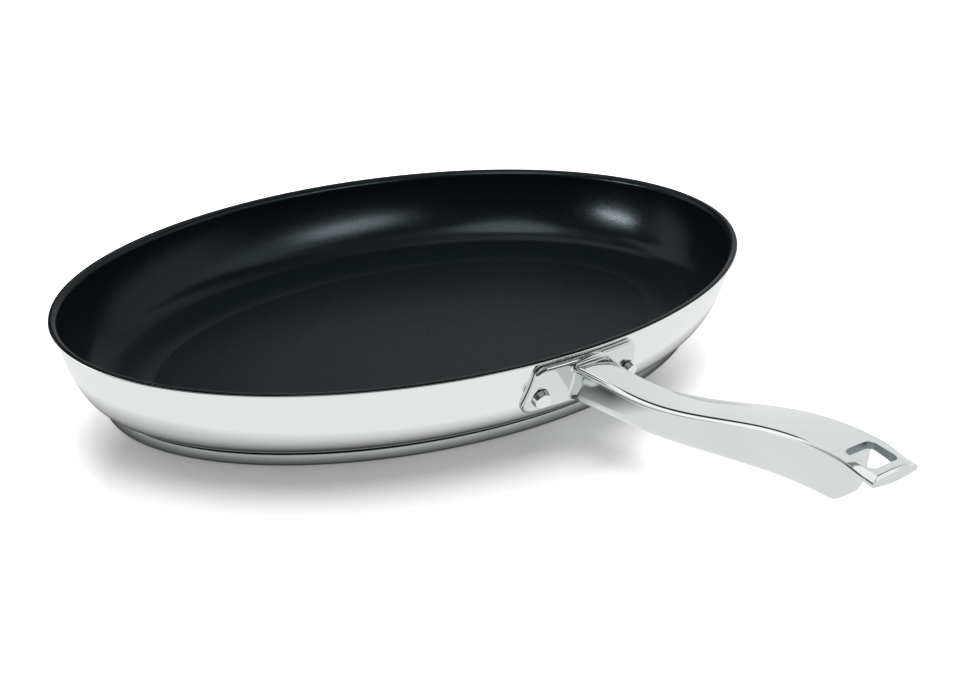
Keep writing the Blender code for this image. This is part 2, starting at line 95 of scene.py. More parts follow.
class NodeWriter:
    """Adds nodes to a shader or geometry tree and joins them."""

    def __init__(self, tree: NodeTree) -> None:
        """Keeps the tree to write to."""
        self.tree = tree

    def add(self, kind: str, sockets: dict | None = None, **settings: object) -> Node:
        """Adds one node.

        Args:
            kind: The node's type name.
            sockets: Input names or numbers with a value, or with a socket to join to them.
            **settings: Properties of the node itself.

        Returns:
            The new node.
        """
        node = self.tree.nodes.new(kind)
        for name, value in settings.items():
            setattr(node, name, value)
        return self.give(node, sockets or {})

    def give(self, node: Node, sockets: dict) -> Node:
        """Sets a node's inputs to values, or joins them to sockets.

        Args:
            node: The node.
            sockets: Input names or numbers with a value or a socket.

        Returns:
            The node.
        """
        for key, value in sockets.items():
            if isinstance(value, NodeSocket):
                self.tree.links.new(value, node.inputs[key])
            else:
                node.inputs[key].default_value = value
        return node

    def math(self, operation: str, *values: object) -> NodeSocket:
        """Adds a Math node on the given values or sockets and returns its result."""
        node = self.add("ShaderNodeMath", dict(enumerate(values)), operation=operation)
        return node.outputs[0]

    def vector(self, operation: str, *values: object) -> NodeSocket:
        """Adds a Vector Math node on the given values or sockets and returns its vector."""
        node = self.add("ShaderNodeVectorMath", dict(enumerate(values)), operation=operation)
        return node.outputs[0]

    def reach(self, place: NodeSocket) -> NodeSocket:
        """Measures a vector and returns its length."""
        return self.add("ShaderNodeVectorMath", {0: place}, operation="LENGTH").outputs["Value"]

    def split(self, vector: NodeSocket) -> Sequence[NodeSocket]:
        """Splits a vector and returns its three parts."""
        return self.add("ShaderNodeSeparateXYZ", {0: vector}).outputs[:3]

    def join(self, *parts: object) -> NodeSocket:
        """Joins up to three values or sockets and returns the vector."""
        return self.add("ShaderNodeCombineXYZ", dict(enumerate(parts))).outputs[0]

    def ramp(self, factor: NodeSocket, span: Sequence, result: Sequence = (0.0, 1.0)) -> NodeSocket:
        """Maps a factor's span to the span of a result, clamped.

        Args:
            factor: The socket to map.
            span: The factors at which the result starts and ends.
            result: The result at each end.

        Returns:
            The mapped value's socket.
        """
        ends = dict(zip(("From Min", "From Max", "To Min", "To Max"), (*span, *result)))
        return self.add("ShaderNodeMapRange", {"Value": factor, **ends}, clamp=True).outputs[0]

    def noise(self, place: NodeSocket, scale: float, detail: float = 2.0) -> NodeSocket:
        """Adds a noise texture and returns its value."""
        sockets = {"Vector": place, "Scale": scale, "Detail": detail}
        return self.add("ShaderNodeTexNoise", sockets).outputs[0]

    def bump(self, height: NodeSocket, depth: float) -> NodeSocket:
        """Adds a bump of a given depth and returns its normal."""
        return self.add("ShaderNodeBump", {"Height": height, "Distance": depth}).outputs[0]

    def worn(self, span: Pair) -> NodeSocket:
        """How far a place lies on a sharp edge, from 0 to 1 over a span of pointiness."""
        return self.ramp(self.add("ShaderNodeNewGeometry").outputs["Pointiness"], span)

    def mix(self, factor: NodeSocket, *ends: Triple | NodeSocket) -> NodeSocket:
        """Mixes two colours by a factor.

        Args:
            factor: How much of the second colour shows.
            *ends: Two plain colours or sockets.

        Returns:
            The colour's socket.
        """
        first, second = (end if isinstance(end, NodeSocket) else (*end, 1.0) for end in ends)
        sockets = {0: factor, 6: first, 7: second}
        return self.add("ShaderNodeMix", sockets, data_type="RGBA").outputs[2]

    def end(self, shape: NodeSocket, material: NodeSocket) -> None:
        """Ends a geometry tree with a shape as one plain mesh in its material.

        Args:
            shape: The shape's socket.
            material: The material's socket.
        """
        plain = self.add("GeometryNodeRealizeInstances", {"Geometry": shape}).outputs[0]
        dressed = self.add("GeometryNodeSetMaterial", {"Geometry": plain, "Material": material})
        self.add("NodeGroupOutput", {0: dressed.outputs[0]})


def blank_material(name: str) -> tuple[Material, NodeWriter, Node]:
    """Makes a material with only a Principled shader and its output.

    Args:
        name: The material's name.

    Returns:
        The material, a writer on its tree and the shader node.
    """
    material = bpy.data.materials.new(name)
    material.use_nodes = True
    tree = material.node_tree
    tree.nodes.clear()
    writer = NodeWriter(tree)
    shader = writer.add("ShaderNodeBsdfPrincipled")
    writer.add("ShaderNodeOutputMaterial", {"Surface": shader.outputs[0]})
    return material, writer, shader


@dataclass(frozen=True)
class HoleWallsAndShade:
    """Where a hole's walls are painted dark: inside a rounded rectangle seen from above, over a
    height. The dark is partly the walls' own bare tone and partly painted shade, which reaches down
    onto whatever lies under the hole.
    """

    centre: Triple
    inner: Triple
    corner: float
    bottom: float
    edge: Pair = (0.00003, 0.00008)
    fade: float = 0.0008

    def walls(self, writer: NodeWriter, place: NodeSocket) -> NodeSocket:
        """Finds the hole's walls and the painted shade under them.

        Args:
            writer: A writer on the material's tree.
            place: The place on the piece.

        Returns:
            How far the place belongs to the walls or their painted shade, from 0 to 1.
        """
        offset = writer.vector("ABSOLUTE", writer.vector("SUBTRACT", place, self.centre))
        past = writer.vector("SUBTRACT", offset, self.inner)
        reach = writer.reach(writer.vector("MAXIMUM", past, (0.0, 0.0, 0.0)))
        inside = writer.ramp(reach, [self.corner + end for end in self.edge], (1.0, 0.0))
        above = writer.ramp(writer.split(place)[2], (self.bottom, self.bottom + self.fade))
        return writer.math("MULTIPLY", inside, above)


@dataclass(frozen=True)
class Finish:
    """A surface's look. Each kind of finish says what goes into the shader."""

    name: str

    def build(self) -> Material:
        """Makes the material.

        Returns:
            The material.
        """
        material, writer, shader = blank_material(self.name)
        place = writer.add("ShaderNodeTexCoord").outputs["Object"]
        writer.give(shader, self.inputs(writer, place))
        return material

    def inputs(self, writer: NodeWriter, place: NodeSocket) -> dict[str, object]:
        """Draws the finish.

        Args:
            writer: A writer on the material's tree.
            place: The place on the piece.

        Returns:
            The shader's input names, with values or sockets.
        """
        raise NotImplementedError


@dataclass(frozen=True)
class PolishedSteel(Finish):
    """Mirror-polished stainless steel with faint lines left by the wheel and dulled edges."""

    tint: Triple = (0.800, 0.825, 0.818)
    dull_tint: Triple = (0.770, 0.800, 0.792)
    roughness: float = 0.055
    haze: float = 0.05
    edge_haze: float = 0.08
    cloud_scale: float = 22.0
    cloud_detail: float = 3.0
    lines: Triple = (30.0, 30.0, 1500.0)
    line_depth: float = 0.00000035
    wear_span: Pair = (0.12, 0.45)
    edge_span: Pair = (0.53, 0.62)
    dull_span: Pair = (0.35, 0.70)
    hole: HoleWallsAndShade | None = None
    # A hole's walls take this dark tone: partly bare metal, partly painted shade.
    hole_wall_and_shade_tint: Triple = (0.250, 0.285, 0.300)
    hole_roughness: float = 0.36

    def inputs(self, writer: NodeWriter, place: NodeSocket) -> dict[str, object]:
        """Draws the wheel's lines under a cloud of wear, and a hole's walls, painted dark partly as
        bare metal and partly as shade.

        Args:
            writer: A writer on the material's tree.
            place: The place on the piece.

        Returns:
            The shader's input names, with values or sockets.
        """
        cloud = writer.noise(place, self.cloud_scale, self.cloud_detail)
        lines = writer.noise(writer.vector("MULTIPLY", place, self.lines), 1.0)
        wear = writer.math("MULTIPLY", cloud, lines)
        rough = writer.ramp(wear, self.wear_span, (self.roughness, self.roughness + self.haze))
        worn = writer.math("MULTIPLY", writer.worn(self.edge_span), cloud)
        rough = writer.math("MULTIPLY_ADD", worn, self.edge_haze, rough)
        dull = writer.math("MAXIMUM", worn, writer.ramp(cloud, self.dull_span))
        colour = writer.mix(dull, self.tint, self.dull_tint)
        if self.hole:
            walls = self.hole.walls(writer, place)
            bare = writer.math("MULTIPLY", walls, self.hole_roughness)
            rough = writer.math("MAXIMUM", rough, bare)
            # Painted shade: the hole's walls and what lies under them take the dark tone.
            colour = writer.mix(walls, colour, self.hole_wall_and_shade_tint)
        normal = writer.bump(lines, self.line_depth)
        return {"Base Color": colour, "Roughness": rough, "Normal": normal, "Metallic": 1.0}


@dataclass(frozen=True)
class SatinSteel(Finish):
    """Steel with a fine turned grain that runs round the oval, on its side and underside alike."""

    half_length: float
    half_width: float
    tint: Triple = (0.62, 0.65, 0.65)
    dark_tint: Triple = (0.52, 0.55, 0.55)
    tint_span: Pair = (0.35, 0.65)
    roughness: Pair = (0.24, 0.36)
    rough_span: Pair = (0.3, 0.7)
    rings: float = 700.0
    rings_upward: float = 9000.0
    grain_detail: float = 4.0
    grain_depth: float = 0.0000016
    grain_share: float = 0.7
    cloud_share: float = 0.3
    cloud_scale: float = 60.0

    def inputs(self, writer: NodeWriter, place: NodeSocket) -> dict[str, object]:
        """Draws rings of grain with a faint cloud over them.

        Args:
            writer: A writer on the material's tree.
            place: The place on the piece.

        Returns:
            The shader's input names, with values or sockets.
        """
        size = (self.half_length, self.half_width, FLATTEN)
        ring = writer.reach(writer.vector("DIVIDE", place, size))
        rise = writer.math("MULTIPLY", writer.split(place)[2], self.rings_upward)
        turned = writer.math("ADD", writer.math("MULTIPLY", ring, self.rings), rise)
        sockets = {"W": turned, "Scale": 1.0, "Detail": self.grain_detail}
        grain = writer.add("ShaderNodeTexNoise", sockets, noise_dimensions="1D").outputs[0]
        cloud = writer.noise(place, self.cloud_scale)
        shade = writer.math(
            "ADD",
            writer.math("MULTIPLY", grain, self.grain_share),
            writer.math("MULTIPLY", cloud, self.cloud_share),
        )
        return {
            "Base Color": writer.mix(
                writer.ramp(shade, self.tint_span), self.tint, self.dark_tint
            ),
            "Roughness": writer.ramp(shade, self.rough_span, self.roughness),
            "Normal": writer.bump(grain, self.grain_depth),
            "Metallic": 1.0,
        }


@dataclass(frozen=True)
class NonstickCoating(Finish):
    """A satin black coating with a fine sprayed grain, whose gloss stays low at grazing views."""

    tint: Triple = (0.0048, 0.0068, 0.0080)
    fleck_tint: Triple = (0.0110, 0.0150, 0.0170)
    fleck_scale: float = 900.0
    fleck_span: Pair = (0.10, 0.22)
    edge_span: Pair = (0.54, 0.64)
    roughness: float = 0.20
    floor_roughness: float = 0.30
    floor_height: float = 0.00665
    floor_fade: float = 0.0012
    gloss_tint: tuple[float, float, float, float] = (0.76, 0.94, 1.0, 1.0)
    gloss: Pair = (0.30, 0.035)
    gloss_span: Pair = (0.10, 0.46)
    grain: float = 1300.0
    grain_depth: float = 0.000028
    grain_haze: Pair = (-0.03, 0.06)
    grain_span: Pair = (0.3, 0.7)

    def inputs(self, writer: NodeWriter, place: NodeSocket) -> dict[str, object]:
        """Draws the grain, its flecks, the rougher floor and the gloss by the angle of view.

        Args:
            writer: A writer on the material's tree.
            place: The place on the piece.

        Returns:
            The shader's input names, with values or sockets.
        """
        grain = writer.noise(place, self.grain)
        sockets = {"Vector": place, "Scale": self.fleck_scale}
        flecks = writer.add("ShaderNodeTexVoronoi", sockets).outputs["Distance"]
        dots = writer.ramp(flecks, self.fleck_span, (1.0, 0.0))
        fleck = writer.math("MAXIMUM", dots, writer.worn(self.edge_span))
        above_floor = (self.floor_height, self.floor_height + self.floor_fade)
        base = writer.ramp(
            writer.split(place)[2], above_floor, (self.floor_roughness, self.roughness)
        )
        haze = writer.ramp(grain, self.grain_span, self.grain_haze)
        facing = writer.add("ShaderNodeLayerWeight", {"Blend": 0.5}).outputs["Facing"]
        return {
            "Base Color": writer.mix(fleck, self.tint, self.fleck_tint),
            "Roughness": writer.math("ADD", base, haze),
            "Normal": writer.bump(grain, self.grain_depth),
            "Specular IOR Level": writer.ramp(facing, self.gloss_span, self.gloss),
            "Specular Tint": self.gloss_tint,
        }


@dataclass(frozen=True)
class BareAluminium(Finish):
    """Plain cut aluminium, which shows only as a dull line deep in the base's groove."""

    tint: Triple = (0.55, 0.56, 0.57)
    dark_tint: Triple = (0.40, 0.41, 0.42)
    lines: Triple = (120.0, 120.0, 4000.0)
    line_span: Pair = (0.3, 0.7)
    roughness: Pair = (0.4, 0.6)

    def inputs(self, writer: NodeWriter, place: NodeSocket) -> dict[str, object]:
        """Draws the cutter's lines.

        Args:
            writer: A writer on the material's tree.
            place: The place on the piece.

        Returns:
            The shader's input names, with values or sockets.
        """
        lines = writer.noise(writer.vector("MULTIPLY", place, self.lines), 1.0)
        return {
            "Base Color": writer.mix(lines, self.tint, self.dark_tint),
            "Roughness": writer.ramp(lines, self.line_span, self.roughness),
            "Metallic": 1.0,
        }


def steps_to(end: float, count: int) -> Array:
    """Evenly spaced values from 0 to end, both included."""
    return np.linspace(0.0, end, count + 1)


def arc(centre: Sequence[float], radius: float, start: float, end: float, count: int) -> Array:
    """Points on an arc in a plane, both ends included."""
    angles = np.linspace(start, end, count + 1)
    return np.array(centre) + radius * np.stack([np.cos(angles), np.sin(angles)], axis=1)


def eased(part: Array) -> Array:
    """A part from 0 to 1 that starts and ends level."""
    return part * part * (3 - 2 * part)


def flow(place: Array, stops: Sequence[Pair]) -> Array:
    """Runs a value through stops, level at every stop but the first and the last.

    Args:
        place: Where the value is wanted.
        stops: Pairs of a place and the value there, in order.

    Returns:
        The values, one for each place.
    """
    places, values = np.array(stops, float).T
    last = len(places) - 2
    span = np.clip(np.searchsorted(places, place, side="left") - 1, 0, last)
    part = np.clip((place - places[span]) / (places[span + 1] - places[span]), 0.0, 1.0)
    ease = np.where(span == 0, 1 - (1 - part) ** 2, eased(part))
    ease = np.where(span == last, part ** 2, ease)
    return values[span] + (values[span + 1] - values[span]) * ease


@dataclass
class Oval:
    """The rim's outline, an ellipse, and lines that run beside it."""

    length: float = 0.360
    width: float = 0.260
    halvings: int = 44

    def point(self, angle: Array, out: Array, height: Array) -> Array:
        """Finds points beside the outline.

        Args:
            angle: Each point's angle in the ellipse.
            out: How far it stands outside the outline.
            height: Its height.

        Returns:
            One row of x, y and z for each angle.
        """
        x, y = np.cos(angle) / self.length, np.sin(angle) / self.width
        size = np.hypot(x, y)
        px = self.length / 2 * np.cos(angle) + x / size * out
        py = self.width / 2 * np.sin(angle) + y / size * out
        return np.stack(np.broadcast_arrays(px, py, height), axis=-1)

    def near_angle(self, across: Array, out: Array) -> Array:
        """Finds the angles at which the near side lies at a given x, by halving.

        Args:
            across: Each point's x.
            out: How far the near side is moved out.

        Returns:
            The angles.
        """
        low = np.full(np.broadcast(across, out).shape, -math.pi)
        high = np.zeros_like(low)
        for _ in range(self.halvings):
            middle = (low + high) / 2
            left = self.point(middle, out, 0.0)[..., 0] < across
            low, high = np.where(left, middle, low), np.where(left, high, middle)
        return (low + high) / 2


@dataclass
class Wall:
    """The wall's section: a corner arc, a long wall arc and a lip arc, tangent to each other."""

    oval: Oval
    height: float = 0.0435
    steel: float = 0.0010
    lining: float = 0.00035
    clearance: float = 0.0003
    floor_underside: float = 0.0048
    corner_radius: float = 0.0230
    foot_lean: float = math.radians(29)
    top_lean: float = math.radians(7)
    lip_radius: float = 0.0012
    lip_flat: float = 0.0008
    corner_steps: int = 22
    wall_steps: int = 26
    lip_steps: int = 10
    fold_out: float = -0.0450
    fold_slope: float = math.radians(10)
    fold_steps: int = 40
    fold_pull: float = 0.42
    fold_crowding: float = 1.3
    fold_leads: Pair = (0.0012, 0.0003)

    def __post_init__(self) -> None:
        """Works out the arcs' centres and the wall's radius."""
        lip_height = self.height - self.lining - self.clearance - self.steel - self.lip_radius
        self.top = lip_height + self.lip_radius * math.sin(self.top_lean)
        foot = self.floor_underside + self.corner_radius * (1 - math.sin(self.foot_lean))
        self.radius = (self.top - foot) / (math.sin(self.foot_lean) - math.sin(self.top_lean))
        lip_out = -self.lip_flat - self.steel / 2
        top_out = lip_out - self.lip_radius * math.cos(self.top_lean)
        foot_out = top_out - self.radius * (math.cos(self.top_lean) - math.cos(self.foot_lean))
        self.lip_centre = (lip_out, lip_height)
        self.centre = (
            foot_out - self.radius * math.cos(self.foot_lean),
            foot + self.radius * math.sin(self.foot_lean),
        )
        self.corner_centre = (
            foot_out - self.corner_radius * math.cos(self.foot_lean),
            self.floor_underside + self.corner_radius,
        )
        self.flat_edge = self.corner_centre[0]

    def layer(self, inside: float) -> Section:
        """The section's points from the flat floor's edge to the end of the lip.

        Args:
            inside: How far inside the steel's outer face the layer lies.

        Returns:
            One row of out and height for each point.
        """
        corner_end = -self.foot_lean
        corner = arc(
            self.corner_centre, self.corner_radius - inside, -math.pi / 2, corner_end,
            self.corner_steps,
        )
        wall = arc(self.centre, self.radius - inside, corner_end, -self.top_lean, self.wall_steps)
        if inside > 0:
            corner = self.folded(corner[0, 1], corner[-1])
        lip = arc(
            self.lip_centre, self.lip_radius + inside, math.pi - self.top_lean, math.pi / 2,
            self.lip_steps,
        )
        end = lip[-1] + (self.lip_flat, 0)
        return np.vstack([corner, wall[1:], lip[1:], end])

    def folded(self, floor: float, foot: Array) -> Section:
        """The inner corner, which leaves the flat floor at a fold and sweeps up into the wall.

        Args:
            floor: Height of the flat floor.
            foot: Out and height of the wall's foot.

        Returns:
            Rows of out and height, from just inside the fold to the wall's foot.
        """
        start = np.array([self.fold_out, floor])
        reach = self.fold_pull * float(np.linalg.norm(foot - start))
        rise = np.array([math.cos(self.fold_slope), math.sin(self.fold_slope)])
        steep = np.array([math.sin(self.foot_lean), math.cos(self.foot_lean)])
        t = np.linspace(0.0, 1.0, self.fold_steps + 1)[:, None] ** self.fold_crowding
        points = (1 - t) ** 3 * start + 3 * (1 - t) ** 2 * t * (start + rise * reach)
        points += 3 * (1 - t) * t ** 2 * (foot - steep * reach) + t ** 3 * foot
        return np.vstack([*(start - (lead, 0) for lead in self.fold_leads), points])

    def face(self, height: Array, proud: Array) -> tuple[Array, Array]:
        """Finds the outer face at a height.

        Args:
            height: The height.
            proud: How far the face is moved outwards.

        Returns:
            The face's out and its angle in its arc.
        """
        corner = self.corner_radius + proud
        low = height < self.corner_centre[1] - corner * math.sin(self.foot_lean)
        centre_out = np.where(low, self.corner_centre[0], self.centre[0])
        centre_height = np.where(low, self.corner_centre[1], self.centre[1])
        radius = np.where(low, corner, self.radius + proud)
        angle = np.arcsin((height - centre_height) / radius)
        return centre_out + radius * np.cos(angle), angle

    def near(self, across: Array, height: Array, proud: Array) -> Array:
        """Points on the near wall's outer face, moved outwards by proud."""
        out, _ = self.face(height, proud)
        return self.oval.point(self.oval.near_angle(across, out), out, height)

    def near_normal(self, across: float, height: float) -> Array:
        """Finds the outward direction of the near wall's outer face.

        Args:
            across: The place's x.
            height: The place's height.

        Returns:
            A direction of length 1.
        """
        out, lean = self.face(np.array(height), np.array(0.0))
        angle = self.oval.near_angle(np.array(across), out)
        flat = self.oval.point(angle, 1.0, 0.0) - self.oval.point(angle, 0.0, 0.0)
        return flat * np.cos(lean) + np.array([0, 0, np.sin(lean)])


def new_piece(name: str, points: Array, faces: list, material: Material | None) -> Object:
    """Makes an object at the origin, with its place in its mesh.

    Args:
        name: The object's name.
        points: Rows of x, y and z.
        faces: Each face's point numbers.
        material: The finish, or None.

    Returns:
        The object.
    """
    mesh = bpy.data.meshes.new(name)
    mesh.from_pydata(points.tolist(), [], faces)
    piece = bpy.data.objects.new(name, mesh)
    bpy.context.scene.collection.objects.link(piece)
    if material:
        mesh.materials.append(material)
    return piece


def loft(name: str, rings: Array, material: Material | None) -> Object:
    """A closed solid through rings of equally many points, whose end rings shrink to points.

    Args:
        name: The object's name.
        rings: Points with the shape (rings, points in a ring, 3).
        material: The solid's finish, or None for a cutting tool.

    Returns:
        The object.
    """
    count, around = rings.shape[:2]
    start, step = np.arange(count - 1)[:, None] * around, np.arange(around)[None, :]
    first, following = start + step, start + (step + 1) % around
    quads = np.stack([first, following, following + around, first + around], axis=-1)
    return tidied(new_piece(name, rings.reshape(-1, 3), quads.reshape(-1, 4).tolist(), material))


def closing(ring: Array, shares: Sequence[float] = CAP_SHARES) -> Array:
    """Rings that shrink one end ring towards its middle."""
    middle = ring.mean(axis=0)
    return np.array([middle + (ring - middle) * share for share in shares])


def capped(rings: Array, shares: Sequence[float] = CAP_SHARES) -> Array:
    """Adds rings that close both ends of a loft towards the middle of its end rings."""
    return np.concatenate([closing(rings[0], shares)[::-1], rings, closing(rings[-1], shares)])


def tidied(piece: Object) -> Object:
    """Welds a piece's doubles, turns its faces out and shades all but sharp edges smooth.

    Args:
        piece: The piece.

    Returns:
        The piece.
    """
    work = bmesh.new()
    work.from_mesh(piece.data)
    bmesh.ops.remove_doubles(work, verts=work.verts, dist=WELD)
    bmesh.ops.dissolve_degenerate(work, edges=work.edges, dist=WELD / 10)
    bmesh.ops.recalc_face_normals(work, faces=work.faces)
    if work.calc_volume(signed=True) < 0:
        bmesh.ops.reverse_faces(work, faces=work.faces)
    work.to_mesh(piece.data)
    work.free()
    piece.data.shade_smooth()
    piece.data.set_sharp_from_angle(angle=SHARP_ANGLE)
    return piece


def settle_modifiers(piece: Object) -> Object:
    """Turns a piece's modifiers into its plain mesh.

    Args:
        piece: The piece.

    Returns:
        The piece.
    """
    bpy.context.view_layer.update()
    evaluated = piece.evaluated_get(bpy.context.evaluated_depsgraph_get())
    made = bpy.data.meshes.new_from_object(evaluated)
    made.name = piece.name
    piece.modifiers.clear()
    piece.data = made
    return tidied(piece)


def carve(piece: Object, tools: Sequence[Object], operation: str) -> Object:
    """Cuts tools out of a piece or joins them to it, and removes the tools.

    Args:
        piece: The piece.
        tools: The tools.
        operation: The Boolean's operation.

    Returns:
        The piece.
    """
    for tool in tools:
        modifier = piece.modifiers.new(tool.name, "BOOLEAN")
        modifier.operation = operation
        modifier.solver = "EXACT"
        modifier.object = tool
    settle_modifiers(piece)
    for tool in tools:
        bpy.data.objects.remove(tool)
    return piece


def hand_over(piece: Object, slot: Slot, *nodes: str) -> Object:
    """Lets a finished piece stand for its CAD nodes and reports it.

    Args:
        piece: The piece.
        slot: The record's material slot.
        *nodes: The CAD nodes that it stands for.

    Returns:
        The piece.
    """
    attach(piece, BODY)
    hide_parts(*nodes)
    triangles = sum(len(face.vertices) - 2 for face in piece.data.polygons)
    log.info("%s: %d triangles, %s, for %s", piece.name, triangles, slot.value, ", ".join(nodes))
    return piece


def with_shares(
    section: Section, shares: Sequence[float] = (0.0, 0.35, 0.7, 0.92, 0.985)
) -> Array:
    """Closes a section to the middle of the oval at both ends.

    Args:
        section: Rows of out and height, whose first and last points lie on flat floors.
        shares: Where each added point stands on the way from the middle to the section.

    Returns:
        Rows of out, share and height, as the sweeping tree reads them.
    """
    start = [(section[0, 0], share, section[0, 1]) for share in shares]
    end = [(section[-1, 0], share, section[-1, 1]) for share in reversed(shares)]
    middle = np.stack([section[:, 0], np.ones(len(section)), section[:, 1]], axis=1)
    return np.vstack([start, middle, end])


def geometry_tree(name: str, inputs: dict[str, str]) -> tuple[NodeTree, NodeWriter, Sequence]:
    """Starts a geometry tree with named inputs and one output.

    Args:
        name: The tree's name.
        inputs: Each input's name and the kind of its socket.

    Returns:
        The tree, a writer on it and its inputs.
    """
    tree = bpy.data.node_groups.new(name, "GeometryNodeTree")
    tree.interface.new_socket("Geometry", in_out="OUTPUT", socket_type="NodeSocketGeometry")
    for label, kind in inputs.items():
        tree.interface.new_socket(label, in_out="INPUT", socket_type=f"NodeSocket{kind}")
    writer = NodeWriter(tree)
    return tree, writer, writer.add("NodeGroupInput").outputs


def sweep_tree() -> NodeTree:
    """Builds the tree that sweeps a section round an oval.

    The section comes in as points of out, share and height. A grid has one column for each step
    round the oval and one row for each point of the section, and every vertex is set where they
    cross.

    Returns:
        The tree, which is also used inside the rivets' tree.
    """
    tree, w, given = geometry_tree("Section round an oval", {
        "Section": "Geometry", "Half length": "Float", "Half width": "Float", "Steps": "Int",
        "Material": "Material",
    })
    rows = w.add("GeometryNodeAttributeDomainSize", {0: given["Section"]}).outputs[0]
    columns = w.math("ADD", given["Steps"], 1.0)
    grid = w.add("GeometryNodeMeshGrid", {"Vertices X": columns, "Vertices Y": rows}).outputs[0]
    index = w.add("GeometryNodeInputIndex").outputs[0]
    column = w.math("FLOOR", w.math("DIVIDE", w.math("ADD", index, 0.5), rows))
    row = w.math("SUBTRACT", index, w.math("MULTIPLY", column, rows))
    place = w.add("GeometryNodeInputPosition").outputs[0]
    sampled = w.add(
        "GeometryNodeSampleIndex", {0: given["Section"], "Index": row},
        data_type="FLOAT_VECTOR", domain="POINT", clamp=True,
    )
    value = next(s for s in sampled.inputs if s.name == "Value" and s.enabled)
    tree.links.new(place, value)
    out, share, height = w.split(next(s for s in sampled.outputs if s.enabled))
    angle = w.math("MULTIPLY", w.math("DIVIDE", column, given["Steps"]), 2 * math.pi)
    turns = w.math("COSINE", angle), w.math("SINE", angle)
    halves = given["Half length"], given["Half width"]
    slant = w.join(*(w.math("DIVIDE", turn, half) for turn, half in zip(turns, halves)))
    normal = w.split(w.vector("NORMALIZE", slant))
    across = [
        w.math("MULTIPLY_ADD", normal[axis], out, w.math("MULTIPLY", turns[axis], halves[axis]))
        for axis in (0, 1)
    ]
    spot = w.join(*(w.math("MULTIPLY", part, share) for part in across), height)
    moved = w.add("GeometryNodeSetPosition", {"Geometry": grid, "Position": spot}).outputs[0]
    merged = w.add("GeometryNodeMergeByDistance", {"Geometry": moved, "Distance": WELD})
    w.end(merged.outputs[0], given["Material"])
    return tree


def rivets_tree(sweep: NodeTree) -> NodeTree:
    """Builds the tree that turns one rivet from its profile and sets it on both sides.

    Args:
        sweep: The sweeping tree, used here round a circle.

    Returns:
        The tree.
    """
    tree, w, given = geometry_tree("Rivets on the wall", {
        "Profile": "Geometry", "Hub": "Float", "Steps": "Int", "Place": "Vector",
        "Axis": "Vector", "Material": "Material",
    })
    turned = w.add("GeometryNodeGroup", node_tree=sweep)
    w.give(turned, {
        "Section": given["Profile"], "Half length": given["Hub"], "Half width": given["Hub"],
        "Steps": given["Steps"], "Material": given["Material"],
    })
    index = w.add("GeometryNodeInputIndex").outputs[0]
    side = w.math("SUBTRACT", w.math("MULTIPLY", index, 2.0), 1.0)
    mirror = w.join(side, 1.0, 1.0)
    place = w.vector("MULTIPLY", given["Place"], mirror)
    spots = w.add("GeometryNodePoints", {"Count": len(Side), "Position": place}).outputs[0]
    axis = w.vector("MULTIPLY", given["Axis"], mirror)
    lean = w.add("FunctionNodeAlignRotationToVector", {"Vector": axis}, axis="Z").outputs[0]
    placed = w.add("GeometryNodeInstanceOnPoints", {
        "Points": spots, "Instance": turned.outputs[0], "Rotation": lean,
    })
    w.end(placed.outputs[0], given["Material"])
    return tree


def grow(name: str, points: Array, tree: NodeTree, values: dict[str, object]) -> Object:
    """Runs a geometry tree on a row of points and keeps the result as a plain mesh.

    Args:
        name: The piece's name.
        points: The section or profile, as the tree reads it.
        tree: The tree to run.
        values: The tree's named inputs.

    Returns:
        The finished piece.
    """
    piece = new_piece(name, points, [], None)
    modifier = piece.modifiers.new(tree.name, "NODES")
    modifier.node_group = tree
    for socket in tree.interface.items_tree:
        if socket.in_out == "INPUT" and socket.name in values:
            modifier[socket.identifier] = values[socket.name]
    return settle_modifiers(piece)


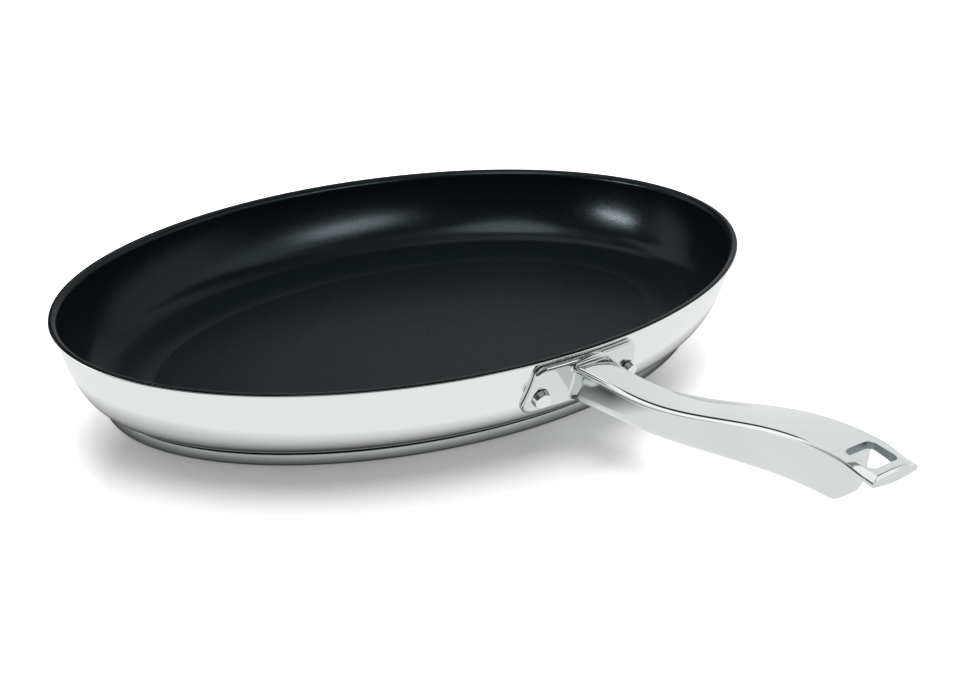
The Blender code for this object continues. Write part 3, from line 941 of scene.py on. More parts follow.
@dataclass
class Shell:
    """The pan proper: its steel body, its non-stick lining and its capsule base."""

    wall: Wall
    sweep: NodeTree
    steps: int = 384
    cap_steel: float = 0.0008
    base_overhang: float = 0.0082
    cap_edge_radius: float = 0.0012
    cap_lip_radius: float = 0.0002
    groove: float = 0.0007
    ledge: float = 0.002
    round_steps: int = 8
    lip_steps: int = 5

    def swept(self, name: str, section: Section, material: Material) -> Object:
        """Sweeps a section round the pan's oval.

        Args:
            name: The piece's name.
            section: Rows of out and height.
            material: The finish.

        Returns:
            The piece.
        """
        return grow(name, with_shares(section), self.sweep, {
            "Half length": self.wall.oval.length / 2,
            "Half width": self.wall.oval.width / 2,
            "Steps": self.steps,
            "Material": material,
        })

    def rounded(self, under: Section, over: Section) -> Section:
        """Joins a lower and an upper layer by a rounded edge at the lip's end.

        Args:
            under: The lower layer, which ends at the lip.
            over: The upper layer.

        Returns:
            One section for both layers.
        """
        middle = (under[-1] + over[-1]) / 2
        radius = float(np.linalg.norm(over[-1] - under[-1]) / 2)
        edge = arc(middle, radius, -math.pi / 2, math.pi / 2, self.round_steps)[1:-1]
        return np.vstack([under, edge, over[::-1]])

    def body(self, steel: Material) -> Object:
        """The steel body: floor, corner, wall and turned-out lip."""
        section = self.rounded(self.wall.layer(0.0), self.wall.layer(self.wall.steel))
        return self.swept("steel_pan", section, steel)

    def lining(self, coating: Material) -> Object:
        """The coating over the floor, the wall and the top of the lip.

        Args:
            coating: The finish.

        Returns:
            The piece.
        """
        under = self.wall.steel + self.wall.clearance
        section = self.rounded(self.wall.layer(under), self.wall.layer(under + self.wall.lining))
        return self.swept("coated_inside", section, coating)

    def cap(self, satin: Material) -> Object:
        """The steel tray under the core, whose side stops a groove below the pan's corner.

        Args:
            satin: The finish.

        Returns:
            The piece.
        """
        wall = self.wall
        side = wall.flat_edge + self.base_overhang
        inner = side - self.cap_steel
        past_flat = inner - wall.flat_edge
        corner_rise = wall.corner_radius - math.sqrt(wall.corner_radius ** 2 - past_flat ** 2)
        top = wall.floor_underside + corner_rise - self.groove
        foot, lip = self.cap_edge_radius, self.cap_lip_radius
        section = np.vstack([
            (side - foot - self.ledge, 0.0),
            arc((side - foot, foot), foot, -math.pi / 2, 0.0, self.round_steps),
            arc((side - lip, top - lip), lip, 0.0, math.pi / 2, self.lip_steps),
            arc((inner + lip, top - lip), lip, math.pi / 2, math.pi, self.lip_steps),
            (inner, self.cap_steel),
            (inner - self.ledge, self.cap_steel),
        ])
        return self.swept("base_tray", section, satin)


@dataclass
class Handle:
    """The hollow handle: a crowned strip over a U-shaped shell, held by a riveted bracket."""

    wall: Wall
    plate_thickness: float = 0.0030
    plate_height: float = 0.0237
    plate_top_width: float = 0.056
    plate_bottom_width: float = 0.0645
    plate_corner: float = 0.0050
    plate_round: float = 0.0021
    plate_back_round: float = 0.0006
    plate_lip_gap: float = 0.0008
    neck_length: float = 0.0015
    neck_fillet: float = 0.0015
    neck_side_fillet: float = 0.0012
    neck_top_fillet: float = 0.0026
    neck_foot_fillet: float = 0.0010
    spigot_length: float = 0.012
    reach: float = 0.169
    root_width: float = 0.0208
    neck_width: float = 0.0176
    neck_reach: float = 0.020
    grip_width: float = 0.0262
    grip_setback: float = 0.064
    tip_width: float = 0.0255
    root_drop: float = 0.0037
    dip_fall: float = 0.0021
    dip_reach: float = 0.033
    crest_rise: float = 0.0171
    crest_setback: float = 0.033
    tip_fall: float = 0.0035
    strip_edge: float = 0.0019
    strip_crown: float = 0.00139
    strip_tip_sag: float = 0.0012
    strip_round: float = 0.00045
    strip_dome: float = 0.0005
    edge_steps: int = 34
    bead_width: float = 0.0023
    bead_drop: float = 0.0019
    tip_bead_width: float = 0.0006
    tip_bead_drop: float = 0.0012
    bevel_width: float = 0.0034
    bevel_lean: float = math.radians(21)
    bevel_ease: float = 0.05
    bevel_share: float = 12 / 34
    bevel_start: float = 0.045
    bevel_tilt: float = 0.018
    bevel_full: float = 0.005
    end_width: float = 0.0014
    end_lean: float = math.radians(46)
    end_corner: float = 0.00025
    tip_growth: float = 0.0008
    shell_step: float = 0.0018
    shell_wall: float = 0.0015
    shell_corner: float = 0.0060
    shell_root_depth: float = 0.0163
    shell_waist_depth: float = 0.0141
    shell_waist_setback: float = 0.119
    shell_full_depth: float = 0.0195
    shell_full_setback: float = 0.031
    shell_end_lean: float = math.radians(8)
    shell_end_bulge: float = 0.0028
    shell_nose: float = 0.0022
    shell_side_round: float = 0.0009
    hole_width: float = 0.0155
    hole_length: float = 0.0150
    hole_corner: float = 0.0030
    hole_setback: float = 0.0120
    # How far down the hole's walls and the shell's end under the hole are painted dark, the lower
    # part as painted shade.
    hole_shade_depth: float = 0.0060
    shell_under_hole: float = 0.0015
    seam: float = 0.00002
    slit: float = 0.0003
    stations: int = 220
    face_steps: int = 26
    side_steps: int = 4
    low_steps: int = 7
    under_steps: int = 16
    end_steps: tuple[int, int, int] = (10, 8, 16)
    end_first_lean: float = math.radians(3)
    shell_steps: int = 16
    shell_corner_share: float = 0.85
    shell_end_shares: tuple[float, ...] = (0.985, 0.93, 0.85, 0.75, 0.6, 0.45, 0.3, 0.15, 0.0)
    nose_steps: int = 10
    hole_steps: int = 10
    plate_shares: tuple[float, ...] = (0.0, 0.12, 0.3, 0.5, 0.68, 0.82, 0.92, 0.97)
    plate_back_steps: int = 6
    plate_round_steps: int = 14
    plate_points: int = 360
    neck_points: int = 300
    neck_steps: int = 18
    neck_step: float = 0.0004
    neck_arch: float = 0.6
    neck_sink: float = 0.00002
    spigot_room: float = 0.0006
    spigot_drop: float = 0.0004
    spigot_slope: float = 0.16
    spigot_steps: int = 4
    rounds: int = 9

    def __post_init__(self) -> None:
        """Works out the places along the handle and the plate's heights."""
        self.rim_near = self.wall.oval.width / 2
        self.tip = self.rim_near + self.reach
        self.hole_middle = self.tip - self.hole_setback
        self.shell_last = self.hole_middle - self.hole_length / 2 + self.shell_under_hole
        self.plate_top = self.wall.top - self.plate_lip_gap
        self.plate_bottom = self.plate_top - self.plate_height
        self.plate_proud = self.wall.clearance + self.plate_thickness
        self.root_edge = self.plate_top - self.root_drop
        self.root = float(self.root_distance(np.array(0.0), np.array(self.root_edge)))

    def root_distance(self, across: Array, height: Array) -> Array:
        """Distance of the neck's outer end, which runs parallel to the plate."""
        return -self.wall.near(across, height, self.plate_proud)[..., 1] + self.neck_length

    def half_width(self, distance: Array) -> Array:
        """Half the strip's width.

        Args:
            distance: Distance from the pan's middle, along the handle.

        Returns:
            Half the width there.
        """
        return flow(distance, (
            (self.root, self.root_width / 2),
            (self.rim_near + self.neck_reach, self.neck_width / 2),
            (self.tip - self.grip_setback, self.grip_width / 2),
            (self.tip, self.tip_width / 2),
        ))

    def edge_height(self, distance: Array) -> Array:
        """Height of the strip's upper edge line.

        Args:
            distance: Distance from the pan's middle, along the handle.

        Returns:
            The height there.
        """
        dip = self.root_edge - self.dip_fall
        return flow(distance, (
            (self.root, self.root_edge),
            (self.rim_near + self.dip_reach, dip),
            (self.tip - self.crest_setback, dip + self.crest_rise),
            (self.tip, dip + self.crest_rise - self.tip_fall),
        ))

    def shell_depth(self, distance: Array) -> Array:
        """Depth of the shell under the strip.

        Args:
            distance: Distance from the pan's middle, along the handle.

        Returns:
            The depth there.
        """
        return flow(distance, (
            (self.root, self.shell_root_depth),
            (self.tip - self.shell_waist_setback, self.shell_waist_depth),
            (self.tip - self.shell_full_setback, self.shell_full_depth),
            (self.tip, self.shell_full_depth),
        ))

    def strip_low(self, distance: Array) -> Array:
        """Height of the strip's lower edge, which drops a little towards the tip."""
        part = np.clip((distance - self.shell_last) / (self.tip - self.shell_last), 0, 1)
        return self.edge_height(distance) - self.strip_edge - self.tip_growth * part

    def edge(self, distance: Array, mark: Array) -> tuple[Array, Array]:
        """The strip's upper edge: a bead, which a bevel cuts more and more towards the tip.

        Args:
            distance: Distance of each point.
            mark: Each point's mark, from 0 at the face to 1 at the side.

        Returns:
            How far each point stands inside the side, and how far below the face.
        """
        full = self.tip - self.bevel_full
        part, tilt = (
            eased(np.clip((distance - start) / (full - start), 0, 1))
            for start in (self.tip - self.bevel_start, self.tip - self.bevel_tilt)
        )
        slope = np.tan(tilt * self.bevel_lean)
        bead = self.bead_width + part * (self.tip_bead_width - self.bead_width)
        fall = self.bead_drop + part * (self.tip_bead_drop - self.bead_drop)
        first = np.arctan(slope * bead / fall)
        along = np.clip(mark / self.bevel_share, 0, 1) ** 2
        past = np.clip((mark - self.bevel_share) / (1 - self.bevel_share), 0, 1)
        turn = first + (math.pi / 2 - first) * past
        ease = self.bevel_ease
        down = np.where(along < ease, along ** 2 / (2 * ease), along - ease / 2)
        inset = bead * (1 - np.sin(turn)) + part * self.bevel_width * (1 - along)
        drop = part * self.bevel_width * slope * down + fall * (np.cos(first) - np.cos(turn))
        return inset, drop

    @cached_property
    def end_curve(self) -> Array:
        """The bevel across the strip's far end.

        Returns:
            Rows of gap and drop, from face to foot.
        """
        counts, steep = self.end_steps, math.pi / 2
        lean = np.concatenate([
            np.linspace(self.end_first_lean, self.end_lean, counts[0]),
            np.full(counts[1], self.end_lean),
            np.linspace(self.end_lean, steep, counts[2]),
        ])
        first, last = self.end_corner * 2, self.end_corner * (steep - self.end_lean)
        flat = self.end_width - first - self.end_corner * (1 - math.sin(self.end_lean))
        lengths = np.array((first, flat / math.cos(self.end_lean), last)) / counts
        length = np.repeat(lengths, counts)
        reach = np.concatenate([[0], np.cumsum(length * np.cos(lean))])
        drop = np.concatenate([[0], np.cumsum(length * np.sin(lean))])
        return np.stack([reach[-1] - reach, drop], axis=1)

    @cached_property
    def strip_marks(self) -> tuple[Array, Array, Array]:
        """Each section point's side, its group and its mark from 0 to 1 within the group.

        The groups are the top face, the upper edge, the side, the lower edge and the underside,
        in the order in which the section runs from the middle of the top to the middle of the
        underside.

        Returns:
            The sides, the groups and the marks.
        """
        marks = (
            steps_to(1, self.face_steps)[:-1],
            steps_to(1, self.edge_steps),
            steps_to(1, self.side_steps)[1:-1],
            steps_to(1, self.low_steps),
            steps_to(1, self.under_steps)[-2::-1],
        )
        group = np.concatenate([np.full(len(part), n) for n, part in enumerate(marks)])
        mark = np.concatenate(marks)
        back = slice(-2, 0, -1)
        side = np.concatenate([np.ones(len(group)), -np.ones(len(group) - 2)])
        return side, np.concatenate([group, group[back]]), np.concatenate([mark, mark[back]])

    def strip_outline(self, distance: Array, gap: float = 1.0) -> tuple[Array, Array]:
        """The strip's closed section, from the middle of its top round to the right and back.

        Args:
            distance: One distance for each point of the section, or one for all.
            gap: Distance from the strip's far end, whose bevel lowers the top.

        Returns:
            The points' places across and their heights.
        """
        side, group, mark = self.strip_marks
        half = self.half_width(distance)
        inset, drop = self.edge(distance, mark)
        face = half - self.edge(distance, np.array(0.0))[0]
        brow = self.edge_height(distance) + self.strip_crown - self.strip_dome
        fallen = self.edge(distance, np.array(1.0))[1]
        low, foot = self.strip_low(distance), self.strip_round
        gone = np.clip((distance - self.shell_last) / (self.tip - self.shell_last), 0, 1)
        sag = self.strip_tip_sag * np.sin(gone * math.pi / 2)
        turn = mark * math.pi / 2
        bottom = low + foot * (1 - math.sqrt(1 - max(0.0, 1 - gap / foot) ** 2))
        groups = [group == number for number in range(4)]
        across = np.select(groups, [
            mark * face, half - inset, half + 0 * mark, half - foot * (1 - np.cos(turn)),
        ], mark * (half - foot))
        height = np.select(groups, [
            brow + self.strip_dome * (1 - mark ** 2),
            brow - drop,
            (brow - fallen) * (1 - mark) + (bottom + foot) * mark,
            bottom + foot * (1 - np.sin(turn)),
        ], bottom - sag * (1 - mark ** 2))
        end_drop = np.interp(gap, self.end_curve[::-1, 0], self.end_curve[::-1, 1])
        ceiling = brow - end_drop + self.strip_dome * (1 - np.clip(across / face, 0, 1) ** 2)
        return side * across, np.where(group < 3, np.minimum(height, ceiling), height)

    def shell_outline(
        self, distance: Array, inset: float, top_raise: float = 0.0, lift: float = 0.0,
        draw: float = 0.0,
    ) -> tuple[Array, Array]:
        """The shell's section from its top left round the bottom to its top right.

        Args:
            distance: One distance for each point of the section, or one for all.
            inset: How far inside the outer face the section lies.
            top_raise: How far the open top is raised, for the hollow.
            lift: How far the bottom is lifted, near the rounded end.
            draw: How far the sides are drawn in, near the rounded end.

        Returns:
            The points' places across and their heights.
        """
        side, turn = self.shell_marks
        half = self.half_width(distance) - self.shell_step - inset - draw
        top = self.strip_low(distance) - self.slit + top_raise
        floor = self.edge_height(distance) - self.strip_edge - self.shell_depth(distance)
        bottom = floor + inset + lift
        radius = np.minimum(self.shell_corner - inset, half * self.shell_corner_share)
        across = side * (half - radius) + radius * np.cos(turn)
        height = bottom + radius + radius * np.sin(turn)
        is_top = turn == TOP_MARK
        return np.where(is_top, side * half, across), np.where(is_top, top, height)

    @cached_property
    def shell_marks(self) -> tuple[Array, Array]:
        """Each point's side of the U and its angle in the corner arc.

        Returns:
            The sides and the angles, which are TOP_MARK at the open tops.
        """
        count = self.shell_steps + 1
        left = np.linspace(math.pi, 1.5 * math.pi, count)
        right = np.linspace(1.5 * math.pi, 2 * math.pi, count)
        side = np.concatenate([[-1.0], -np.ones(count), np.ones(count), [1.0]])
        return side, np.concatenate([[TOP_MARK], left, right, [TOP_MARK]])

    def shell_end(self, across: Array, height: Array) -> Array:
        """The shell's far end, which bulges out and leans in lower down.

        Args:
            across: Each point's x.
            height: Each point's height.

        Returns:
            The end's distances.
        """
        last = np.array(self.shell_last)
        fall = self.edge_height(last) - self.strip_edge - height
        side = across / (self.half_width(last) - self.shell_step)
        return last - fall * math.tan(self.shell_end_lean) - self.shell_end_bulge * side ** 2

    def settled(self, outline: Outline, place: Distance) -> Array:
        """Finds a ring whose every point lies on the section at its own distance.

        Args:
            outline: The section at given distances.
            place: The distance of a point by its x and height.

        Returns:
            Rows of x, y and z.
        """
        distance = np.full(outline(np.array(self.root))[0].shape, self.root)
        for _ in range(self.rounds):
            across, height = outline(distance)
            distance = place(across, height)
        return np.stack([across, -distance, height], axis=1)

    def ring(
        self, outline: Outline, end: Distance, part: float, back: float = 0.0
    ) -> Array:
        """Finds a ring part of the way from the neck's end face to the far end.

        Args:
            outline: The section at given distances.
            end: The far end's distances.
            part: The part of the way.
            back: How far the ring is moved back.

        Returns:
            Rows of x, y and z.
        """
        def place(across: Array, height: Array) -> Array:
            """Distances of the ring's points."""
            start = self.root_distance(across, height) + self.seam
            return start + (end(across, height) - start) * part - back
        return self.settled(outline, place)

    def strip(self, steel: Material) -> Object:
        """The handle's top, with the hanging hole and a bevelled far end.

        Args:
            steel: The finish.

        Returns:
            The piece.
        """
        def level(distance: float) -> Distance:
            """The same distance for every point."""
            return lambda across, _height: np.full(across.shape, distance)

        foot = level(self.tip - self.end_width)
        parts = steps_to(1, self.stations)[:-1]
        rings = [self.ring(self.strip_outline, foot, part) for part in parts]
        for gap in self.end_curve[:, 0]:
            rings.append(self.settled(
                lambda distance: self.strip_outline(distance, gap), level(self.tip - gap)
            ))
        piece = loft("handle_strip", capped(np.array(rings)), steel)
        return carve(piece, [self.hole_tool()], "DIFFERENCE")

    def hanging_hole(self) -> HoleWallsAndShade:
        """Where the hanging hole's walls are painted dark, down into the shell's end, where the dark
        is painted shade.

        Returns:
            The hole's walls, as the finish needs them.
        """
        corner = self.hole_corner
        inner = (self.hole_width / 2 - corner, self.hole_length / 2 - corner, 1.0)
        top = float(self.edge_height(np.array(self.hole_middle - self.hole_length / 2)))
        bottom = top - self.hole_shade_depth
        return HoleWallsAndShade((0.0, -self.hole_middle, 0.0), inner, corner, bottom)

    def hole_tool(self) -> Object:
        """The rounded bar that cuts the hanging hole.

        Returns:
            The tool.
        """
        middle = float(self.edge_height(np.array(self.hole_middle)))
        high = middle + 4 * self.strip_crown
        low = middle - self.strip_edge - 5 * self.strip_tip_sag
        corners = []
        for quarter, (sx, sy) in enumerate(((1, 1), (-1, 1), (-1, -1), (1, -1))):
            centre = (
                sx * (self.hole_width / 2 - self.hole_corner),
                sy * (self.hole_length / 2 - self.hole_corner),
            )
            start, end = quarter * math.pi / 2, quarter * math.pi / 2 + math.pi / 2
            corners.append(arc(centre, self.hole_corner, start, end, self.hole_steps))
        outline = np.vstack(corners) - (0, self.hole_middle)
        rings = [np.column_stack([outline, np.full(len(outline), z)]) for z in (low, high)]
        return loft("hole_tool", capped(np.array(rings), BLUNT_SHARES), None)

    def shell(self, steel: Material) -> Object:
        """The handle's hollow underside, closed and rounded at its far end.

        Args:
            steel: The finish.

        Returns:
            The piece.
        """
        length = self.shell_last - self.root
        parts = steps_to(1, self.stations)

        def nose(inset: float, top_raise: float, back: float) -> list[Array]:
            """Rounds the tube off towards its end.

            Args:
                inset: How far inside the outer face the tube lies.
                top_raise: How far its top is raised.
                back: How far its end is moved back.

            Returns:
                The rings.
            """
            rings = []
            for turn in steps_to(math.pi / 2, self.nose_steps):
                lift = self.shell_nose * (1 - math.cos(turn))
                draw = self.shell_side_round * (1 - math.cos(turn))
                behind = back + self.shell_nose * (1 - math.sin(turn))
                rings.append(self.ring(
                    lambda d: self.shell_outline(d, inset, top_raise, lift, draw),
                    self.shell_end, 1.0, behind,
                ))
            return rings

        def tube(inset: float, top_raise: float, start: float, back: float) -> Array:
            """Makes a whole closed tube.

            Args:
                inset: How far inside the outer face the tube lies.
                top_raise: How far its top is raised.
                start: Where it starts, as a part of the shell.
                back: How far its end is moved back.

            Returns:
                The tube's rings, from its start to its rounded end.
            """
            stop = 1 - (self.shell_nose + back) / length
            rings = [
                self.ring(
                    lambda d: self.shell_outline(d, inset, top_raise),
                    self.shell_end, start + (stop - start) * part,
                )
                for part in parts[:-1]
            ]
            rings += nose(inset, top_raise, back)
            end = closing(rings[-1], self.shell_end_shares)
            end[..., 1] = back - self.shell_end(end[..., 0], end[..., 2])
            return np.concatenate([closing(rings[0])[::-1], rings, end])

        outer = loft("handle_belly", tube(0.0, 0.0, 0.0, 0.0), steel)
        wall = self.shell_wall
        hollow = tube(wall, 2 * self.strip_edge, -wall / length, wall)
        return carve(outer, [loft("hollow_tool", hollow, None)], "DIFFERENCE")

    def plate_outline(self) -> Array:
        """The plate's outline, wider at the foot.

        Returns:
            Rows of across and height.
        """
        corner = self.plate_corner
        points = []
        for sx, sz, start in ((1, 1, 0.5), (1, -1, 0.0), (-1, -1, -0.5), (-1, 1, -1.0)):
            width = self.plate_top_width if sz > 0 else self.plate_bottom_width
            level = self.plate_top if sz > 0 else self.plate_bottom
            widening = (self.plate_bottom_width - self.plate_top_width) / 2
            slant = widening / self.plate_height * corner
            centre = (sx * (width / 2 - corner + sz * slant), level - sz * corner)
            turn = (start * math.pi, (start - 0.5) * math.pi)
            points.append(arc(centre, corner, *turn, self.plate_round_steps))
        return evenly(np.vstack(points), self.plate_points)

    def plate(self, steel: Material) -> Object:
        """The bracket's plate, curved to lie on the wall, with rounded front edges.

        Args:
            steel: The finish.

        Returns:
            The piece.
        """
        outline = self.plate_outline()
        middle = np.array([0.0, (self.plate_top + self.plate_bottom) / 2])
        size = np.abs(outline - middle).max(axis=0)
        back, edge = self.plate_back_round, self.plate_round
        clearance, proud = self.wall.clearance, self.plate_proud
        stages = [(share, back, clearance) for share in self.plate_shares]
        for turn in steps_to(math.pi / 2, self.plate_back_steps):
            lift = back * (1 - math.cos(turn))
            stages.append((1.0, back * (1 - math.sin(turn)), clearance + lift))
        for turn in steps_to(math.pi / 2, self.plate_round_steps):
            fall = edge * (1 - math.sin(turn))
            stages.append((1.0, edge * (1 - math.cos(turn)), proud - fall))
        stages += [(share, edge, proud) for share in reversed(self.plate_shares)]
        rings = []
        for share, draw, out in stages:
            flat = middle + (outline - middle) * share * (1 - draw / size)
            rings.append(self.wall.near(flat[:, 0], flat[:, 1], out))
        return loft("handle_mount", np.array(rings), steel)

    def neck_outline(self, grown: float) -> Array:
        """The neck's section at the strip's root.

        Args:
            grown: How much of the fillet is added, from 0 to 1.

        Returns:
            Rows of across and height.
        """
        root = np.array(self.root)
        side, group, _ = self.strip_marks
        strip = np.stack(self.strip_outline(root), axis=1)
        half = float(self.half_width(root))
        inner = half - self.shell_step
        low_edge = float(self.edge_height(root)) - self.strip_edge
        belly = np.stack(self.shell_outline(root, 0.0), axis=1)[1:-1][::-1]
        step = low_edge - self.neck_step
        points = evenly(np.vstack([
            strip[(group < 3) & (side < 0)], strip[(group < 3) & (side > 0)],
            [(half, low_edge), (inner, step)], belly, [(-inner, step), (-half, low_edge)],
        ]), self.neck_points)
        high, low = points[:, 1].max(), points[:, 1].min()
        up = (points[:, 1] - (high + low) / 2) / ((high - low) / 2)
        arched = self.neck_top_fillet * (1 - self.neck_arch * (points[:, 0] / half) ** 2)
        rise = np.where(up > 0, arched, self.neck_foot_fillet)
        across = points[:, 0] * (1 + grown * self.neck_side_fillet / half)
        return np.stack([across, points[:, 1] + grown * rise * up], axis=1)

    def neck(self) -> Object:
        """The bracket's neck with its fillet, and the spigot inside the shell.

        Returns:
            A tool to join to the plate.
        """
        fillet = min(self.neck_fillet, self.neck_length)
        stages = [(-self.plate_thickness / 2, 1.0)]
        for turn in steps_to(math.pi / 2, self.neck_steps):
            stages.append((fillet * (1 - math.cos(turn)) - self.neck_sink, 1 - math.sin(turn)))
        stages.append((self.neck_length, 0.0))
        rings = []
        for standoff, grown in stages:
            section = self.neck_outline(grown)
            face = self.root_distance(section[:, 0], section[:, 1])
            distance = face - self.neck_length + standoff
            rings.append(np.stack([section[:, 0], -distance, section[:, 1]], axis=1))
        middle = section.mean(axis=0)
        inset = self.shell_wall + self.shell_step + self.wall.clearance + self.spigot_room
        shrink = 1 - inset / np.abs(section - middle).max(axis=0)
        spigot = middle + (section - middle) * shrink - (0, self.spigot_drop)
        for reach in steps_to(self.spigot_length, self.spigot_steps):
            distance = self.root_distance(spigot[:, 0], spigot[:, 1]) + reach
            height = spigot[:, 1] - reach * self.spigot_slope
            rings.append(np.stack([spigot[:, 0], -distance, height], axis=1))
        return loft("neck_tool", capped(np.array(rings)), None)

    def mount(self, steel: Material) -> Object:
        """The whole bracket: plate, neck and spigot in one piece."""
        return carve(self.plate(steel), [self.neck()], "UNION")


def evenly(points: Array, count: int) -> Array:
    """Spreads a number of points evenly along a closed line.

    Args:
        points: Rows of two places.
        count: How many points are wanted.

    Returns:
        The points.
    """
    closed = np.vstack([points, points[:1]])
    along = np.concatenate([[0], np.cumsum(np.linalg.norm(np.diff(closed, axis=0), axis=1))])
    marks = np.linspace(0, along[-1], count + 1)[:-1]
    return np.stack([np.interp(marks, along, closed[:, axis]) for axis in (0, 1)], axis=1)


@dataclass
class Rivets:
    """Two rivets through the bracket, the wall and the lining."""

    handle: Handle
    tree: NodeTree
    spacing: float = 0.0498
    height: float = 0.0262
    shank: float = 0.0052
    base: float = 0.0090
    top: float = 0.0074
    proud: float = 0.0028
    edge_round: float = 0.0005
    dome: float = 0.00012
    inner: float = 0.0100
    inner_height: float = 0.0014
    hub: float = 0.0002
    steps: int = 96
    corner_steps: int = 8
    corner_share: float = 0.55
    inner_share: float = 0.9
    inner_gap: float = 0.0002
    chamfer: float = 0.0001
    drill_reach: float = 0.008
    drill_steps: int = 48

    def profile(self) -> Array:
        """The rivet's half section.

        Returns:
            Rows of radius and distance along its axis, inner end first.
        """
        wall = self.handle.wall
        seat = self.handle.plate_proud + wall.clearance
        under = -(wall.steel + 2 * wall.clearance + wall.lining + self.inner_gap)
        slope = math.atan2((self.base - self.top) / 2, self.proud)
        edge, chamfer = self.edge_round, self.chamfer
        corner = (self.top / 2 - edge * self.corner_share, seat + self.proud - edge)
        inner_round = self.inner_height * self.inner_share
        inner = self.inner / 2 - inner_round
        return np.vstack([
            (inner, under - self.inner_height),
            arc((inner, under - chamfer), inner_round, -math.pi / 2, 0.0, self.corner_steps),
            (self.inner / 2, under),
            (self.shank / 2, under),
            (self.shank / 2, seat),
            (self.base / 2 - chamfer, seat),
            (self.base / 2, seat + chamfer),
            arc(corner, edge, slope, math.pi / 2, self.corner_steps),
            (self.top / 4, seat + self.proud + self.dome),
        ])

    def place(self, side: Side) -> tuple[Array, Array]:
        """Finds a rivet's place.

        Args:
            side: Which rivet.

        Returns:
            Its point on the wall's outer face and its axis.
        """
        across = side.value * self.spacing / 2
        spot = self.handle.wall.near(np.array(across), np.array(self.height), np.array(0.0))
        return spot, self.handle.wall.near_normal(across, self.height)

    def heads(self, steel: Material) -> Object:
        """Both rivets, turned and set by the tree.

        Args:
            steel: The finish.

        Returns:
            The piece.
        """
        rows = self.profile()
        points = np.stack([rows[:, 0] - self.hub, np.ones(len(rows)), rows[:, 1]], axis=1)
        points = np.vstack([(0, 0, rows[0, 1]), points, (0, 0, rows[-1, 1])])
        spot, axis = self.place(Side.RIGHT)
        return grow("rivets", points, self.tree, {
            "Hub": self.hub, "Steps": self.steps, "Place": spot.tolist(), "Axis": axis.tolist(),
            "Material": steel,
        })

    def drill(self, side: Side) -> Object:
        """A bar that drills one rivet's hole through whatever it holds together.

        Args:
            side: Which rivet.

        Returns:
            The tool.
        """
        spot, axis = self.place(side)
        direction = Vector(axis)
        across = direction.orthogonal().normalized()
        other = direction.cross(across)
        turn = steps_to(2 * math.pi, self.drill_steps)[:-1, None]
        radius = self.shank / 2 + self.handle.wall.clearance
        circle = (np.cos(turn) * across + np.sin(turn) * other) * radius
        reach = self.drill_reach
        rings = [spot + axis * along + circle for along in (-reach, reach)]
        return loft(f"drill_{side.name.lower()}", capped(np.array(rings), BLUNT_SHARES), None)


@dataclass(frozen=True)
class Lamp:
    """A soft oval lamp, placed by its direction from the pan's middle."""

    name: str
    azimuth: float
    elevation: float
    distance: float
    width: float
    height: float
    power: float
    seen: Seen

    def build(self) -> Object:
        """Makes the lamp, turned to the pan.

        Returns:
            The lamp.
        """
        data = bpy.data.lights.new(self.name, "AREA")
        data.shape = "ELLIPSE"
        data.size, data.size_y = self.width, self.height
        data.energy = self.power
        lamp = bpy.data.objects.new(self.name, data)
        azimuth, elevation = math.radians(self.azimuth), math.radians(self.elevation)
        flat = math.cos(elevation)
        towards = Vector((math.sin(azimuth) * flat, math.cos(azimuth) * flat, math.sin(elevation)))
        lamp.location = towards * self.distance
        lamp.rotation_euler = towards.to_track_quat("Z", "Y").to_euler()
        lamp.visible_diffuse = self.seen is Seen.MATT
        lamp.visible_glossy = self.seen is Seen.GLOSS
        bpy.context.scene.collection.objects.link(lamp)
        return lamp


@dataclass(frozen=True)
class Patch:
    """A soft-edged patch of the surroundings between two azimuths and two heights."""

    azimuths: Pair
    heights: Pair
    strength: float
    soft: float = 0.04

    def over(self, writer: NodeWriter, sky: NodeSocket, azimuth: NodeSocket,
             height: NodeSocket) -> NodeSocket:
        """Lays the patch over the sky.

        Args:
            writer: A writer on the world's tree.
            sky: The sky's strength without the patch.
            azimuth: The direction's azimuth from +Y towards +X, in radians.
            height: The direction's upward part.

        Returns:
            The sky's strength with the patch.
        """
        inside = 1.0
        for place, (low, high) in ((azimuth, np.radians(self.azimuths)), (height, self.heights)):
            for end, beyond in ((low, low - self.soft), (high, high + self.soft)):
                inside = writer.math("MULTIPLY", writer.ramp(place, (beyond, end)), inside)
        return writer.math("MULTIPLY_ADD", inside, writer.math("SUBTRACT", self.strength, sky), sky)


